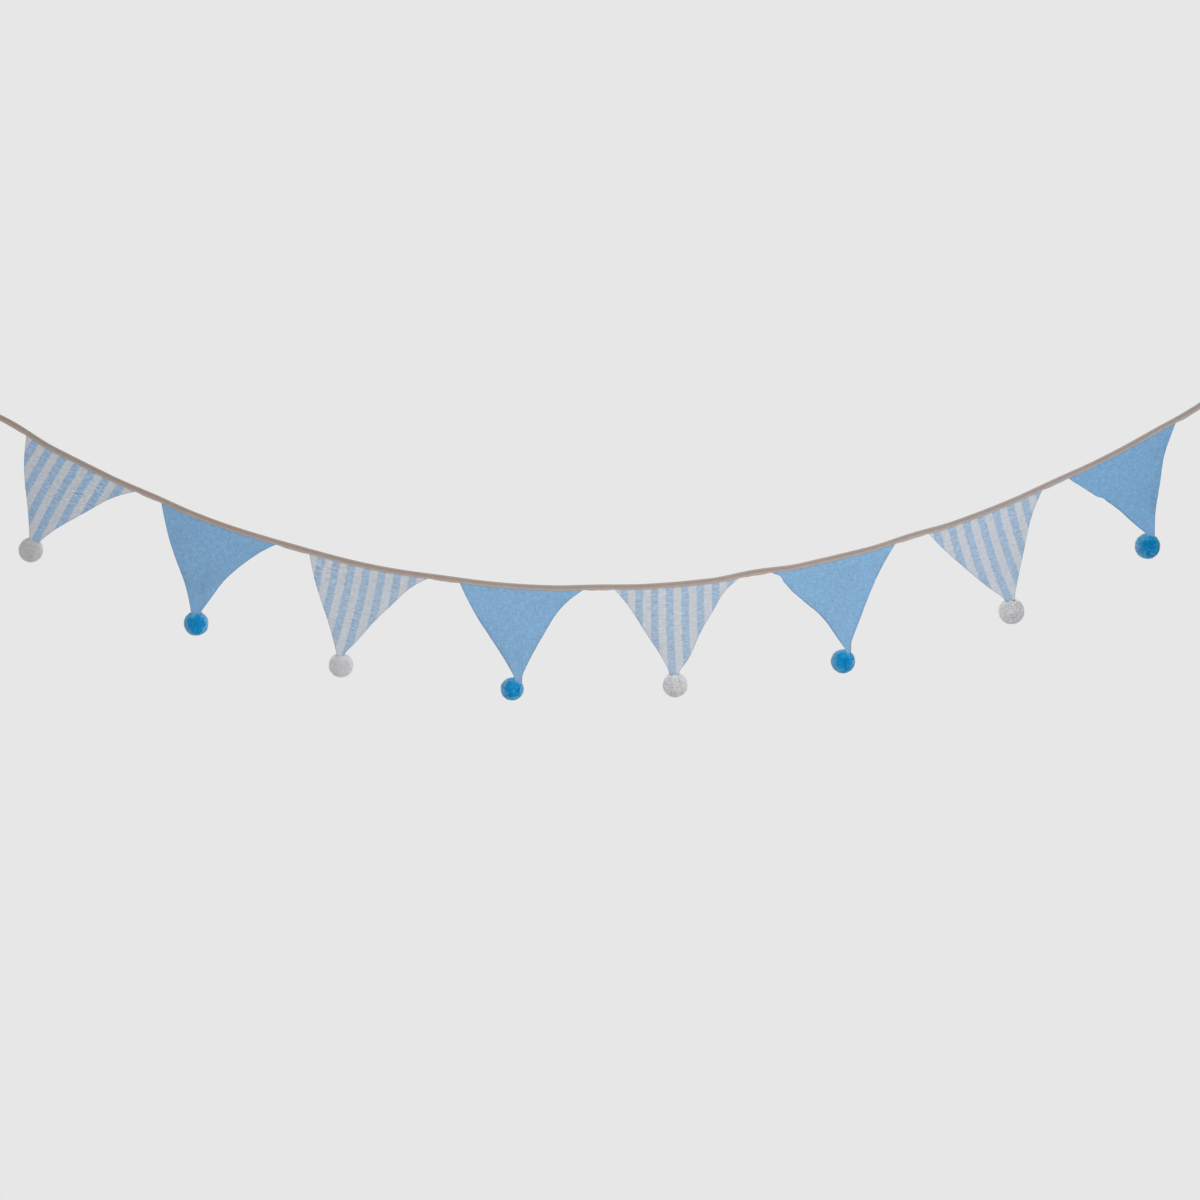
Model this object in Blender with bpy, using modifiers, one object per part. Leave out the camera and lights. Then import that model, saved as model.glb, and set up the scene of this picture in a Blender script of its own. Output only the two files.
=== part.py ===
"""Fabric bunting: eight cloth pennants with pompoms, sewn into a folded tape that hangs in a shallow curve.

Metres, +X along the bunting to the right, +Z up, -Y towards the viewer.
The origin is the left end of the tape, on its top fold.
"""

import math
import random
from collections import namedtuple

import bmesh
import bpy
import numpy as np
from mathutils import Matrix, Vector

MM = 0.001

# ---------------------------------------------------------------- driving sizes

# The tape hangs as a catenary. Places along it are arc lengths from its lowest point.
SAG_RADIUS = 1676 * MM        # radius of the curve at its lowest point
TAPE_FROM = -1015 * MM        # left end of the tape
TAPE_TO = 1067 * MM           # right end of the tape
LIFT_REACH = 75 * MM          # a lift between two pennants fades out over this length
SINK_REACH = 125 * MM         # and a sink over a pennant's middle over this one

# The tape is folded over along its length and sewn through.
TAPE_THICK = 1.0 * MM
TAPE_DEPTH = 8.9 * MM         # fold to lower edges, where it holds a pennant
BARE_DEPTH = 9.7 * MM         # fold to lower edges, where it is bare
TAPE_PART = 4 * MM            # the two leaves stay parted this far beyond a pennant
TAPE_CLOSE = 10 * MM          # and close over this length
TAPE_STEP = 24 * MM           # between two sections of the tape

FLAG_THICK = 1.2 * MM
GAP = 0.3 * MM                # between pieces that touch
FLAG_TOP = 2.6 * MM           # from the fold to the pennant's top edge, inside the tape
TIP_ROUND = 2.5 * MM          # the tip's round end
FLAG_COLUMNS = 12             # faces across a pennant
FLAG_ROWS = 12                # faces from the tape to the tip
ROWS_CROWD = 1.35             # above 1 they crowd towards the tip
CURL_SHARE = 0.6              # how far an edge that is drawn in turns back, as a share of its bow
PLEAT = 1.0 * MM              # the soft pleats that the narrowing tip gathers
TIP_FLAT = 0.90               # from here down the tip is flat
TIP_EASE = 0.22               # and above it the folds ease off over this share of the drop

TIP_ROWS = 3                  # rows of the tip that can lie in the yarn
TIP_ROOM = 0.5 * MM           # room left in the yarn round the tip's edges

LOCK_ROOT = 0.70              # a pompom's core, as a share of its radius
LOCK_GAP = 0.55 * MM          # half the groove between two locks at their roots
LOCK_TAPER = 0.90             # a lock's width at its shoulder, against straight rays
LOCK_SHOULDER = 0.91          # where a lock's round top begins, as a share of the radius
LOCK_UNEVEN = 0.05            # how much the locks differ in length
LOCK_SOFT = math.radians(50)  # edges flatter than this are shaded smooth
POMPOM_BACK = 10 * MM         # a pompom's centre behind the cloth

# Each row is a pennant, from left to right. Sizes in mm, angles in degrees.
# start, width: left corner and width along the tape. lean, drop: from the middle of its top edge to its tip,
# where lean is the angle to the right of plumb. left, right: bows of the two sides off the straight, as
# strengths of one, two and more half waves from corner to neck, positive to the left of the way down.
# necks: where each side turns plumb above the tip (across, up). belly: how far its middle stands forward.
# ball: the pompom's centre from the tip (across, up), and its radius.
# lift: how far the tape is lifted beyond the pennant's right corner. sink: how far it hangs below its curve
# over the pennant's middle, negative where it stands above.
Pennant = namedtuple("Pennant", "name cloth start width lean drop left right necks belly ball radius lift sink")
PENNANTS = [
    Pennant("1", "striped", -935, 193, -31.4, 146.1, (4, 2), (9, 1, 1.5),
            ((-6.0, 3), (10.8, 0.5)), 4, (-4.4, -13.4), 19.6, 1.5, -1.2),
    Pennant("2", "plain", -696, 193, -13.5, 153.0, (1, 2.5, -0.5), (13, 0.5, 0, 0.5),
            ((-7.9, 7), (7.4, 8)), 5, (-0.5, -10.5), 20.5, 0.0, 1.5),
    Pennant("3", "striped", -447, 192, -18.0, 148.5, (1.5, 1.5), (7, 2.5, 0.5, 1),
            ((-5.7, 5), (7.5, 3)), -3, (1.9, -16.8), 19.4, 0.5, 1.4),
    Pennant("4", "plain", -203, 196, -2.0, 155.5, (2.5, 1.5), (12, 2.5, 1),
            ((-5.6, 12), (6.6, 13)), 4, (-9.2, -8.2), 19.2, 1.5, 0.8),
    Pennant("5", "striped", 44, 199, -2.5, 144.0, (-4.5, -0.5, -1), (6, 4, 0, 1.5),
            ((-6.0, 3), (9.0, 4)), 3, (3.3, -17.6), 19.9, 4.0, 0.0),
    Pennant("6", "plain", 297, 200, 9.0, 152.5, (-7, 1.5, 0, -1), (4.5, 1),
            ((-4.4, 5), (4.0, 17)), -4, (-8.6, -14.0), 20.1, 3.0, -1.6),
    Pennant("7", "striped", 554, 193, 15.0, 145.0, (4.5, 0, 0.5), (5, 1.5, 0.5),
            ((-6.8, 2), (9.9, 9)), 4, (4.8, -18.5), 20.6, 1.0, 0.5),
    Pennant("8", "plain", 794, 193, 17.5, 149.5, (-4.5, 1, 1.5), (6.5, 1, 0.5, -0.5),
            ((-5.6, 10), (7.5, 26)), 5, (-3.5, -9.8), 21.2, -2.5, 1.2),
]
FIRST_LIFT = 5.0              # the lift left of the first pennant, in mm
LIFT_BESIDE = 27.0            # a lift's middle beyond a pennant's corner, in mm

# Colours are the photograph's, in sRGB from 0 to 255.
Finish = namedtuple("Finish", "name colour roughness")
FINISHES = {
    "tape": Finish("tape_cotton", (166, 150, 141), 0.85),
    "striped": Finish("striped_cotton", (178, 191, 206), 0.85),
    "plain": Finish("plain_linen", (126, 166, 202), 0.85),
    "striped_yarn": Finish("grey_white_yarn", (184, 184, 186), 0.95),
    "plain_yarn": Finish("blue_yarn", (35, 132, 180), 0.95),
}


# ---------------------------------------------------------------- the tape's line

def lifts():
    """Each place where the tape stands a little above or below its catenary: (arc, height, reach)."""
    first = PENNANTS[0]
    found = [((first.start - LIFT_BESIDE) * MM, FIRST_LIFT * MM, LIFT_REACH)]
    for row in PENNANTS:
        found.append(((row.start + row.width / 2) * MM, -row.sink * MM, SINK_REACH))
        found.append(((row.start + row.width + LIFT_BESIDE) * MM, row.lift * MM, LIFT_REACH))
    return found


def hang(arc):
    """The tape's top fold at an arc length from its lowest point, before the origin is moved: (x, z)."""
    x = SAG_RADIUS * math.asinh(arc / SAG_RADIUS)
    z = SAG_RADIUS * (math.cosh(x / SAG_RADIUS) - 1)
    for middle, height, reach in lifts():
        near = min(abs(arc - middle) / reach, 1.0)
        z += height * math.cos(math.pi * near / 2) ** 2
    return np.array([x, z])


ORIGIN = hang(TAPE_FROM)


def below_fold(arc, depth):
    """The point at a depth square to the tape's top fold, in the finished frame: (x, z)."""
    step = 1 * MM
    along = hang(arc + step) - hang(arc - step)
    along = along / np.linalg.norm(along)
    down = np.array([along[1], -along[0]])
    return hang(arc) - ORIGIN + down * depth


def smooth(share):
    """0 to 1, with level ends."""
    share = min(max(share, 0.0), 1.0)
    return share * share * (3 - 2 * share)


def parted(arc):
    """1 where the tape's leaves are held apart by a pennant, 0 where they close on each other."""
    most = 0.0
    for row in PENNANTS:
        left = row.start * MM - TAPE_PART
        right = (row.start + row.width) * MM + TAPE_PART
        outside = max(left - arc, arc - right, 0.0)
        most = max(most, 1 - smooth(outside / TAPE_CLOSE))
    return most


def tape_sections():
    """Arc lengths of the tape's sections: even steps, with the places where it closes added."""
    edges = [TAPE_FROM]
    for row in PENNANTS:
        left = row.start * MM - TAPE_PART
        right = (row.start + row.width) * MM + TAPE_PART
        edges += [left - TAPE_CLOSE, left - TAPE_CLOSE / 2, left,
                  right, right + TAPE_CLOSE / 2, right + TAPE_CLOSE]
    edges.append(TAPE_TO)
    places = []
    for begin, end in zip(edges, edges[1:]):
        steps = max(1, round((end - begin) / TAPE_STEP))
        places += [begin + (end - begin) * k / steps for k in range(steps)]
    return places + [TAPE_TO]


# ---------------------------------------------------------------- making objects

def clear_scene():
    for thing in list(bpy.data.objects):
        bpy.data.objects.remove(thing, do_unlink=True)


def new_collection(name):
    group = bpy.data.collections.new(name)
    bpy.context.scene.collection.children.link(group)
    return group


def linear(channel):
    """One sRGB channel from 0 to 255 as linear light."""
    value = channel / 255
    return value / 12.92 if value <= 0.04045 else ((value + 0.055) / 1.055) ** 2.4


def make_material(finish):
    material = bpy.data.materials.new(finish.name)
    material.use_nodes = True
    shader = material.node_tree.nodes["Principled BSDF"]
    shader.inputs["Base Color"].default_value = (*[linear(c) for c in finish.colour], 1)
    shader.inputs["Roughness"].default_value = finish.roughness
    shader.inputs["Metallic"].default_value = 0
    return material


def make_object(name, mesh, group, material=None):
    thing = bpy.data.objects.new(name, mesh)
    group.objects.link(thing)
    if material:
        mesh.materials.append(material)
    return thing


def grid_mesh(name, rows):
    """A mesh of four-sided faces through rows of points, each row as long as the others."""
    across = len(rows[0])
    points = [tuple(map(float, point)) for row in rows for point in row]
    faces = []
    for r in range(len(rows) - 1):
        for c in range(across - 1):
            corner = r * across + c
            faces.append((corner, corner + 1, corner + across + 1, corner + across))
    mesh = bpy.data.meshes.new(name)
    mesh.from_pydata(points, [], faces)
    mesh.shade_smooth()
    return mesh


def thicken(thing, thickness):
    """Give a sheet its thickness, half to each side."""
    solid = thing.modifiers.new("thickness", "SOLIDIFY")
    solid.thickness = thickness
    solid.offset = 0
    solid.use_even_offset = True
    return solid


# ---------------------------------------------------------------- the tape

def build_tape(group, material):
    """One sheet bent over in the shape of a narrow arch, carried along the hanging line."""
    closed = GAP / 2 + TAPE_THICK / 2
    opened = FLAG_THICK / 2 + GAP + TAPE_THICK / 2
    rows = []
    for arc in tape_sections():
        share = parted(arc)
        half = closed + (opened - closed) * share
        depth = BARE_DEPTH + (TAPE_DEPTH - BARE_DEPTH) * share
        crown = TAPE_THICK / 2
        shoulder = crown + 0.5 * half
        arch = [(-half, depth), (-half, depth / 2), (-0.85 * half, shoulder), (0, crown),
                (0.85 * half, shoulder), (half, depth / 2), (half, depth)]
        row = []
        for side, down in arch:
            x, z = below_fold(arc, down)
            row.append((x, side, z))
        rows.append(row)
    tape = make_object("tape", grid_mesh("tape", rows), group, material)
    thicken(tape, TAPE_THICK)
    return tape


# ---------------------------------------------------------------- the pennants

def tip_of(row):
    """The middle of a pennant's tip: (x, z)."""
    left = below_fold(row.start * MM, TAPE_DEPTH)
    right = below_fold((row.start + row.width) * MM, TAPE_DEPTH)
    lean = math.radians(row.lean)
    return (left + right) / 2 + row.drop * MM * np.array([math.sin(lean), -math.cos(lean)])


def side_point(corner, tip, bows, neck, down):
    """A point on a pennant's side, and how far it is bowed off the straight. Below its neck it hangs plumb."""
    turn = tip + np.array(neck) * MM
    neck_down = 1 - (turn[1] - tip[1]) / (corner[1] - tip[1])
    if down > neck_down:
        return turn - [0, (turn[1] - tip[1]) * (down - neck_down) / (1 - neck_down)], 0.0
    share = down / neck_down
    along = turn - corner
    across = np.array([along[1], -along[0]]) / np.linalg.norm(along)
    bow = sum(strength * MM * math.sin((k + 1) * math.pi * share) for k, strength in enumerate(bows))
    return corner + along * share + across * bow, bow


def cloth_point(row, across, down):
    """A point of a pennant's middle sheet: across runs 0 to 1 left to right, down 0 to 1 from tape to tip.

    Each row of the sheet is straight between the two bowed sides, and near the tape it takes over the tape's
    curve. In depth, a belly stands forward in the middle, the drawn-in sides turn back, and two soft pleats
    run down to the tip.
    """
    left_corner = below_fold(row.start * MM, TAPE_DEPTH)
    right_corner = below_fold((row.start + row.width) * MM, TAPE_DEPTH)
    tip = tip_of(row)
    left, left_bow = side_point(left_corner, tip, row.left, row.necks[0], down)
    right, right_bow = side_point(right_corner, tip, row.right, row.necks[1], down)
    edge = below_fold((row.start + row.width * across) * MM, TAPE_DEPTH)
    chord = left_corner + (right_corner - left_corner) * across
    x, z = left + (right - left) * across + (edge - chord) * (1 - down) ** 2
    z -= TIP_ROUND * 4 * across * (1 - across) * down ** 8

    fade = smooth(down / 0.25) * smooth((TIP_FLAT - down) / TIP_EASE)
    belly = row.belly * MM * math.sin(math.pi * across) * math.sin(math.pi * down)
    curl = CURL_SHARE * (max(-left_bow, 0) * (1 - across) ** 3 + max(right_bow, 0) * across ** 3)
    pleat = PLEAT * math.cos(4 * math.pi * across) * smooth((down - 0.3) / 0.4)
    y = (curl - belly + pleat) * fade
    return x, y, z


def row_down(r):
    """How far down a pennant its row r lies, 0 to 1. The rows lie closer together towards the tip."""
    return 1 - (1 - r / FLAG_ROWS) ** ROWS_CROWD


def tucked_point(row, across):
    """A point of a pennant's top edge, up inside the tape."""
    x, z = below_fold((row.start + row.width * across) * MM, FLAG_TOP)
    return x, 0.0, z


def build_flag(row, group, material):
    rows = [[tucked_point(row, c / FLAG_COLUMNS) for c in range(FLAG_COLUMNS + 1)]]
    for r in range(FLAG_ROWS + 1):
        rows.append([cloth_point(row, c / FLAG_COLUMNS, row_down(r)) for c in range(FLAG_COLUMNS + 1)])
    name = "flag_" + row.name
    flag = make_object(name, grid_mesh(name, rows), group, material)
    thicken(flag, FLAG_THICK)
    return flag


# ---------------------------------------------------------------- the pompoms

def lock_ball(name, radius, rng):
    """Thirty four-sided locks of yarn standing on a core.

    The core's faces are the thirty diamonds over a regular solid's edges: each triangle of an icosahedron is
    poked at its middle and the old edges are dissolved. Each diamond is inset, drawn outwards along its rays
    and closed with a low point.
    """
    core = radius * LOCK_ROOT
    ball = bmesh.new()
    bmesh.ops.create_icosphere(ball, subdivisions=1, radius=core)
    old_edges = list(ball.edges)
    middles = bmesh.ops.poke(ball, faces=list(ball.faces))["verts"]
    for vertex in middles:
        vertex.co = vertex.co.normalized() * core
    bmesh.ops.dissolve_edges(ball, edges=old_edges)
    diamonds = list(ball.faces)
    bmesh.ops.inset_individual(ball, faces=diamonds, thickness=LOCK_GAP)
    for face in diamonds:
        length = 1 + LOCK_UNEVEN * (2 * rng.random() - 1)
        top = bmesh.ops.extrude_discrete_faces(ball, faces=[face])["faces"][0]
        middle = top.calc_center_median().normalized()
        for vertex in top.verts:
            ray = vertex.co.normalized()
            ray = middle + (ray - middle) * LOCK_TAPER
            vertex.co = ray.normalized() * radius * LOCK_SHOULDER * length
        point = bmesh.ops.poke(ball, faces=[top])["verts"][0]
        point.co = middle * radius * length
    turn = Matrix.Rotation(rng.uniform(0, math.tau), 3, Vector((rng.random(), rng.random(), 1)).normalized())
    bmesh.ops.transform(ball, matrix=turn.to_4x4(), verts=ball.verts)
    bmesh.ops.recalc_face_normals(ball, faces=ball.faces)
    mesh = bpy.data.meshes.new(name)
    ball.to_mesh(mesh)
    ball.free()
    return mesh


def tip_cutter(row, group):
    """The room that a pennant's tip takes in the yarn: its outline and a gap, open to the front."""
    points = []
    for r in range(FLAG_ROWS - TIP_ROWS, FLAG_ROWS + 1):
        line = np.array([cloth_point(row, c / FLAG_COLUMNS, row_down(r)) for c in range(FLAG_COLUMNS + 1)])
        middle = (line[0] + line[-1]) / 2
        reach = np.linalg.norm(line[-1] - line[0]) / 2
        line = middle + (line - middle) * (reach + TIP_ROOM) / reach
        line[:, 1] = FLAG_THICK / 2 + GAP
        points.append(line)
    points[-1][:, 2] -= TIP_ROOM
    mesh = grid_mesh("cutter_" + row.name, points)
    shape = bmesh.new()
    shape.from_mesh(mesh)
    front = bmesh.ops.extrude_face_region(shape, geom=list(shape.faces))["geom"]
    for vertex in front:
        if isinstance(vertex, bmesh.types.BMVert):
            vertex.co.y = -2 * row.radius * MM
    bmesh.ops.recalc_face_normals(shape, faces=shape.faces)
    shape.to_mesh(mesh)
    shape.free()
    cutter = make_object("cutter_" + row.name, mesh, group)
    cutter.hide_render = True
    cutter.display_type = "WIRE"
    return cutter


def largest_piece(mesh):
    """Keep a mesh's largest connected piece, so that no clipped end of yarn hangs loose."""
    shape = bmesh.new()
    shape.from_mesh(mesh)
    unseen = set(shape.verts)
    pieces = []
    while unseen:
        piece = set()
        edge_of_piece = [unseen.pop()]
        while edge_of_piece:
            vertex = edge_of_piece.pop()
            piece.add(vertex)
            for link in vertex.link_edges:
                other = link.other_vert(vertex)
                if other in unseen:
                    unseen.remove(other)
                    edge_of_piece.append(other)
        pieces.append(piece)
    pieces.sort(key=len)
    for piece in pieces[:-1]:
        bmesh.ops.delete(shape, geom=list(piece), context="VERTS")
    shape.to_mesh(mesh)
    shape.free()


def build_pompom(row, group, cutters, material):
    name = "pompom_" + row.name
    rng = random.Random(100 + int(row.name))
    tip = tip_of(row)
    centre = Vector((tip[0] + row.ball[0] * MM, POMPOM_BACK, tip[1] + row.ball[1] * MM))
    rough = make_object(name + "_rough", lock_ball(name, row.radius * MM, rng), cutters)
    rough.data.transform(Matrix.Translation(centre))
    cut = rough.modifiers.new("tip", "BOOLEAN")
    cut.operation = "DIFFERENCE"
    cut.solver = "MANIFOLD"       # the exact solver leaves yarn standing in some of these shallow cuts
    cut.object = tip_cutter(row, cutters)
    bpy.context.view_layer.update()
    evaluated = rough.evaluated_get(bpy.context.evaluated_depsgraph_get())
    mesh = bpy.data.meshes.new_from_object(evaluated)
    bpy.data.objects.remove(rough, do_unlink=True)
    largest_piece(mesh)
    mesh.transform(Matrix.Translation(-centre))
    mesh.materials.clear()
    mesh.shade_smooth()
    mesh.set_sharp_from_angle(angle=LOCK_SOFT)
    pompom = make_object(name, mesh, group, material)
    pompom.location = centre
    return pompom


# ---------------------------------------------------------------- the bunting

def main():
    clear_scene()
    bunting = new_collection("fabric_bunting")
    cutters = new_collection("cutters")
    materials = {key: make_material(finish) for key, finish in FINISHES.items()}
    build_tape(bunting, materials["tape"])
    for row in PENNANTS:
        build_flag(row, bunting, materials[row.cloth])
        build_pompom(row, bunting, cutters, materials[row.cloth + "_yarn"])


main()
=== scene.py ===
# %% [markdown]
# # A fabric bunting with pompoms
#
# The bunting is a folded taupe tape that hangs in a shallow curve. Eight cloth pennants are sewn into its
# fold, striped and plain in turn, with a yarn pompom behind each tip. The ground is plain and pale, and the
# light is soft.
#
# The model of the construction is loaded first and stays as it is. The finer pieces made here are worked out
# from the same sizes, in metres: x runs along the bunting to the right, z is up, and the viewer is on the -y
# side. The origin is the left end of the tape's top fold.

# %% Load the construction
import math
from collections import namedtuple

import bpy
import numpy as np
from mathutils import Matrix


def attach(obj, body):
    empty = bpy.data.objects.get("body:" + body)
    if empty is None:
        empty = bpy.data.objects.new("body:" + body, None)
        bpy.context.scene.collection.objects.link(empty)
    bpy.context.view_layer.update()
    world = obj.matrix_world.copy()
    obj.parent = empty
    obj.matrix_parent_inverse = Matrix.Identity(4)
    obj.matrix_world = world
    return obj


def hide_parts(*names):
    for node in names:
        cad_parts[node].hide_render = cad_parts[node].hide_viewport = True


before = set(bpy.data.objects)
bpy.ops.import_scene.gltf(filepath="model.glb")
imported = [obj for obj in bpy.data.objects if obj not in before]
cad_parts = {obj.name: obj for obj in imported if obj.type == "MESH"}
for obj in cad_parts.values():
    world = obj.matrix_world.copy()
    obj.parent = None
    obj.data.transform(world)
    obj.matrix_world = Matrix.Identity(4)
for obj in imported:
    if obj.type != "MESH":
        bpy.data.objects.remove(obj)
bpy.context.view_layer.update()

MM = 0.001
print("nodes in the construction:", sorted(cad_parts))

# %% [markdown]
# ## The camera
#
# The photograph is taken square on, from well back, so the pennants at both ends look as upright as the
# middle ones. A long lens at twelve metres does the same. One pixel of the photograph is 1.6 mm of the
# bunting, and it is 1200 pixels wide, so the view is 1.92 m wide at the cloth.

# %% Camera
VIEW_WIDE = 1200 * 1.6 * MM
CAMERA_AWAY = 12.0
AIM_X, AIM_Z = 0.9822, -0.3077     # the middle of the photograph
FILM_WIDE = 36.0                   # mm

lens = bpy.data.cameras.new("camera")
lens.sensor_width = FILM_WIDE
lens.lens = FILM_WIDE * CAMERA_AWAY / VIEW_WIDE
lens.clip_end = 60
camera = bpy.data.objects.new("camera", lens)
camera.location = (AIM_X, -CAMERA_AWAY, AIM_Z)
camera.rotation_euler = (math.pi / 2, 0, 0)
scene = bpy.context.scene
scene.collection.objects.link(camera)
scene.camera = camera
print(f"lens {lens.lens:.1f} mm, view {VIEW_WIDE:.2f} m wide")

# %% [markdown]
# ## The sizes that the pieces share
#
# A maker starts from a cutting list, and so does this file. Each pennant has a row: where it starts along
# the tape and how wide it is there, how far and in which direction its tip hangs, how its sides bow and
# where they turn plumb above the tip, how far its middle stands forward, where its pompom sits, how much the
# tape is lifted beyond it, and how much it sinks over its middle. They are the construction's own values, so
# a piece made here fits over its solid.

# %% The cutting list
SAG_RADIUS = 1676 * MM             # radius of the hanging curve at its lowest point
TAPE_FROM, TAPE_TO = -1015 * MM, 1067 * MM   # the tape's ends, along the curve from its lowest point
LIFT_REACH = 75 * MM               # a lift of the tape fades out over this length
SINK_REACH = 125 * MM              # and a sink over a pennant over this one
FIRST_LIFT = 5.0                   # mm, left of the first pennant
LIFT_BESIDE = 27.0                 # mm, a lift's middle beyond a pennant's corner
TAPE_DEPTH = 8.9 * MM              # fold to lower edge, where the tape holds a pennant
BARE_DEPTH = 9.7 * MM              # and where it is bare
TAPE_PART = 4 * MM                 # its leaves stay parted this far beyond a pennant
TAPE_CLOSE = 10 * MM               # and close over this length
FLAG_TOP = 2.6 * MM                # from the fold to a pennant's top edge, inside the tape
TIP_ROUND = 2.5 * MM
POMPOM_BACK = 10 * MM              # a pompom's centre behind the cloth

# start, width and drop in mm, lean in degrees from plumb. left, right: bows of one, two and more half waves
# from corner to neck. necks: where each side turns plumb, from the tip (across, up). ball: its centre from
# the tip (across, up), then its radius
Pennant = namedtuple(
    "Pennant", "name cloth start width lean drop left right necks belly ball radius lift sink")
PENNANTS = [
    Pennant("1", "striped", -935, 193, -31.4, 146.1, (4, 2), (9, 1, 1.5),
            ((-6.0, 3), (10.8, 0.5)), 4, (-4.4, -13.4), 19.6, 1.5, -1.2),
    Pennant("2", "plain", -696, 193, -13.5, 153.0, (1, 2.5, -0.5), (13, 0.5, 0, 0.5),
            ((-7.9, 7), (7.4, 8)), 5, (-0.5, -10.5), 20.5, 0.0, 1.5),
    Pennant("3", "striped", -447, 192, -18.0, 148.5, (1.5, 1.5), (7, 2.5, 0.5, 1),
            ((-5.7, 5), (7.5, 3)), -3, (1.9, -16.8), 19.4, 0.5, 1.4),
    Pennant("4", "plain", -203, 196, -2.0, 155.5, (2.5, 1.5), (12, 2.5, 1),
            ((-5.6, 12), (6.6, 13)), 4, (-9.2, -8.2), 19.2, 1.5, 0.8),
    Pennant("5", "striped", 44, 199, -2.5, 144.0, (-4.5, -0.5, -1), (6, 4, 0, 1.5),
            ((-6.0, 3), (9.0, 4)), 3, (3.3, -17.6), 19.9, 4.0, 0.0),
    Pennant("6", "plain", 297, 200, 9.0, 152.5, (-7, 1.5, 0, -1), (4.5, 1),
            ((-4.4, 5), (4.0, 17)), -4, (-8.6, -14.0), 20.1, 3.0, -1.6),
    Pennant("7", "striped", 554, 193, 15.0, 145.0, (4.5, 0, 0.5), (5, 1.5, 0.5),
            ((-6.8, 2), (9.9, 9)), 4, (4.8, -18.5), 20.6, 1.0, 0.5),
    Pennant("8", "plain", 794, 193, 17.5, 149.5, (-4.5, 1, 1.5), (6.5, 1, 0.5, -0.5),
            ((-5.6, 10), (7.5, 26)), 5, (-3.5, -9.8), 21.2, -2.5, 1.2),
]
print(len(PENNANTS), "pennants on", round((TAPE_TO - TAPE_FROM) * 1000), "mm of tape")

# %% [markdown]
# ## The hanging line
#
# A tape held at its two ends hangs in a catenary, the curve of a chain. Between two pennants no cloth pulls
# it down, so a soft lift is added. Over a pennant it sinks under the cloth's weight, or stands up where the
# cloth is stiff. Every piece finds its place from this line: an arc length along it, and a depth square to
# it.

# %% The hanging line
LIFTS = [((PENNANTS[0].start - LIFT_BESIDE) * MM, FIRST_LIFT * MM, LIFT_REACH)]
LIFTS += [((row.start + row.width + LIFT_BESIDE) * MM, row.lift * MM, LIFT_REACH) for row in PENNANTS]
LIFTS += [((row.start + row.width / 2) * MM, -row.sink * MM, SINK_REACH) for row in PENNANTS]


def smooth(share):
    """0 to 1 with level ends: 3 s^2 - 2 s^3, where s is the share kept between 0 and 1."""
    share = np.clip(share, 0, 1)
    return share * share * (3 - 2 * share)


def hang(arc):
    """The top fold at arc length s from the lowest point: x = R asinh(s / R) and z = R (cosh(x / R) - 1),
    and each lift adds its height times the squared cosine of its distance, a quarter turn at its reach."""
    x = SAG_RADIUS * np.arcsinh(arc / SAG_RADIUS)
    z = SAG_RADIUS * (np.cosh(x / SAG_RADIUS) - 1)
    for middle, height, reach in LIFTS:
        near = np.clip(np.abs(arc - middle) / reach, 0, 1)
        z = z + height * np.cos(np.pi * near / 2) ** 2
    return np.stack([x, z], -1)


def unit(vectors):
    """Vectors divided by their lengths."""
    return vectors / np.linalg.norm(vectors, axis=-1, keepdims=True)


def fold_frame(arc):
    """The fold's point, its direction to the right, and the one square to it, downwards: (x, z) each."""
    along = unit(hang(arc + 1 * MM) - hang(arc - 1 * MM))
    down = np.stack([along[..., 1], -along[..., 0]], -1)
    return hang(arc) - hang(np.array(TAPE_FROM)), along, down


def below_fold(arc, depth):
    """The point at a depth square to the fold: fold + down x depth."""
    arc, depth = np.broadcast_arrays(np.asarray(arc, float), np.asarray(depth, float))
    point, _, down = fold_frame(arc)
    return point + down * depth[..., None]


print("the right end of the fold is at x, z =", np.round(below_fold(TAPE_TO, 0), 4))

# %% [markdown]
# ## Putting arrays into meshes
#
# Every new surface below is a grid of points or many copies of a small form, worked out as whole arrays.
# These helpers join a grid into four-sided faces and hand the arrays to Blender in one go. A closed surface
# whose faces point outwards encloses a positive volume, so one that comes out negative has the order of its
# corners turned round.

# %% Mesh helpers
def in_space(place, y):
    """Points in space from places (x, z) seen from the front and their depths y."""
    return np.stack([place[..., 0], y, place[..., 1]], -1)


def grid_faces(rows, columns, ring=False):
    """Four corners for each cell of a grid counted row by row. In a ring the last column joins the first."""
    r = np.arange(rows - 1)[:, None]
    c = np.arange(columns if ring else columns - 1)
    after = (c + 1) % columns
    corners = [r * columns + c, r * columns + after, (r + 1) * columns + after, (r + 1) * columns + c]
    return np.stack(corners, -1).reshape(-1, 4)


def fan_faces(tip, ring):
    """Triangles from one point to each pair of neighbours in a closed ring of points."""
    return np.stack([np.full(len(ring), tip), ring, np.roll(ring, -1)], -1)


def enclosed(points, faces):
    """Signed volume: a sixth of the sum of a . (b x c) over the triangles that fan out from a face's
    corner."""
    points = points - points.mean(0)
    a = points[faces[:, 0]]
    pairs = [(points[faces[:, k]], points[faces[:, k + 1]]) for k in range(1, faces.shape[1] - 1)]
    return sum(np.einsum("ij,ij->", a, np.cross(b, c)) for b, c in pairs) / 6


def outwards(points, *groups):
    """The groups of faces, all turned round if together they enclose a negative volume."""
    volume = sum(enclosed(points, faces) for faces in groups)
    return [faces[:, ::-1] if volume < 0 else faces for faces in groups]


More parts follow.
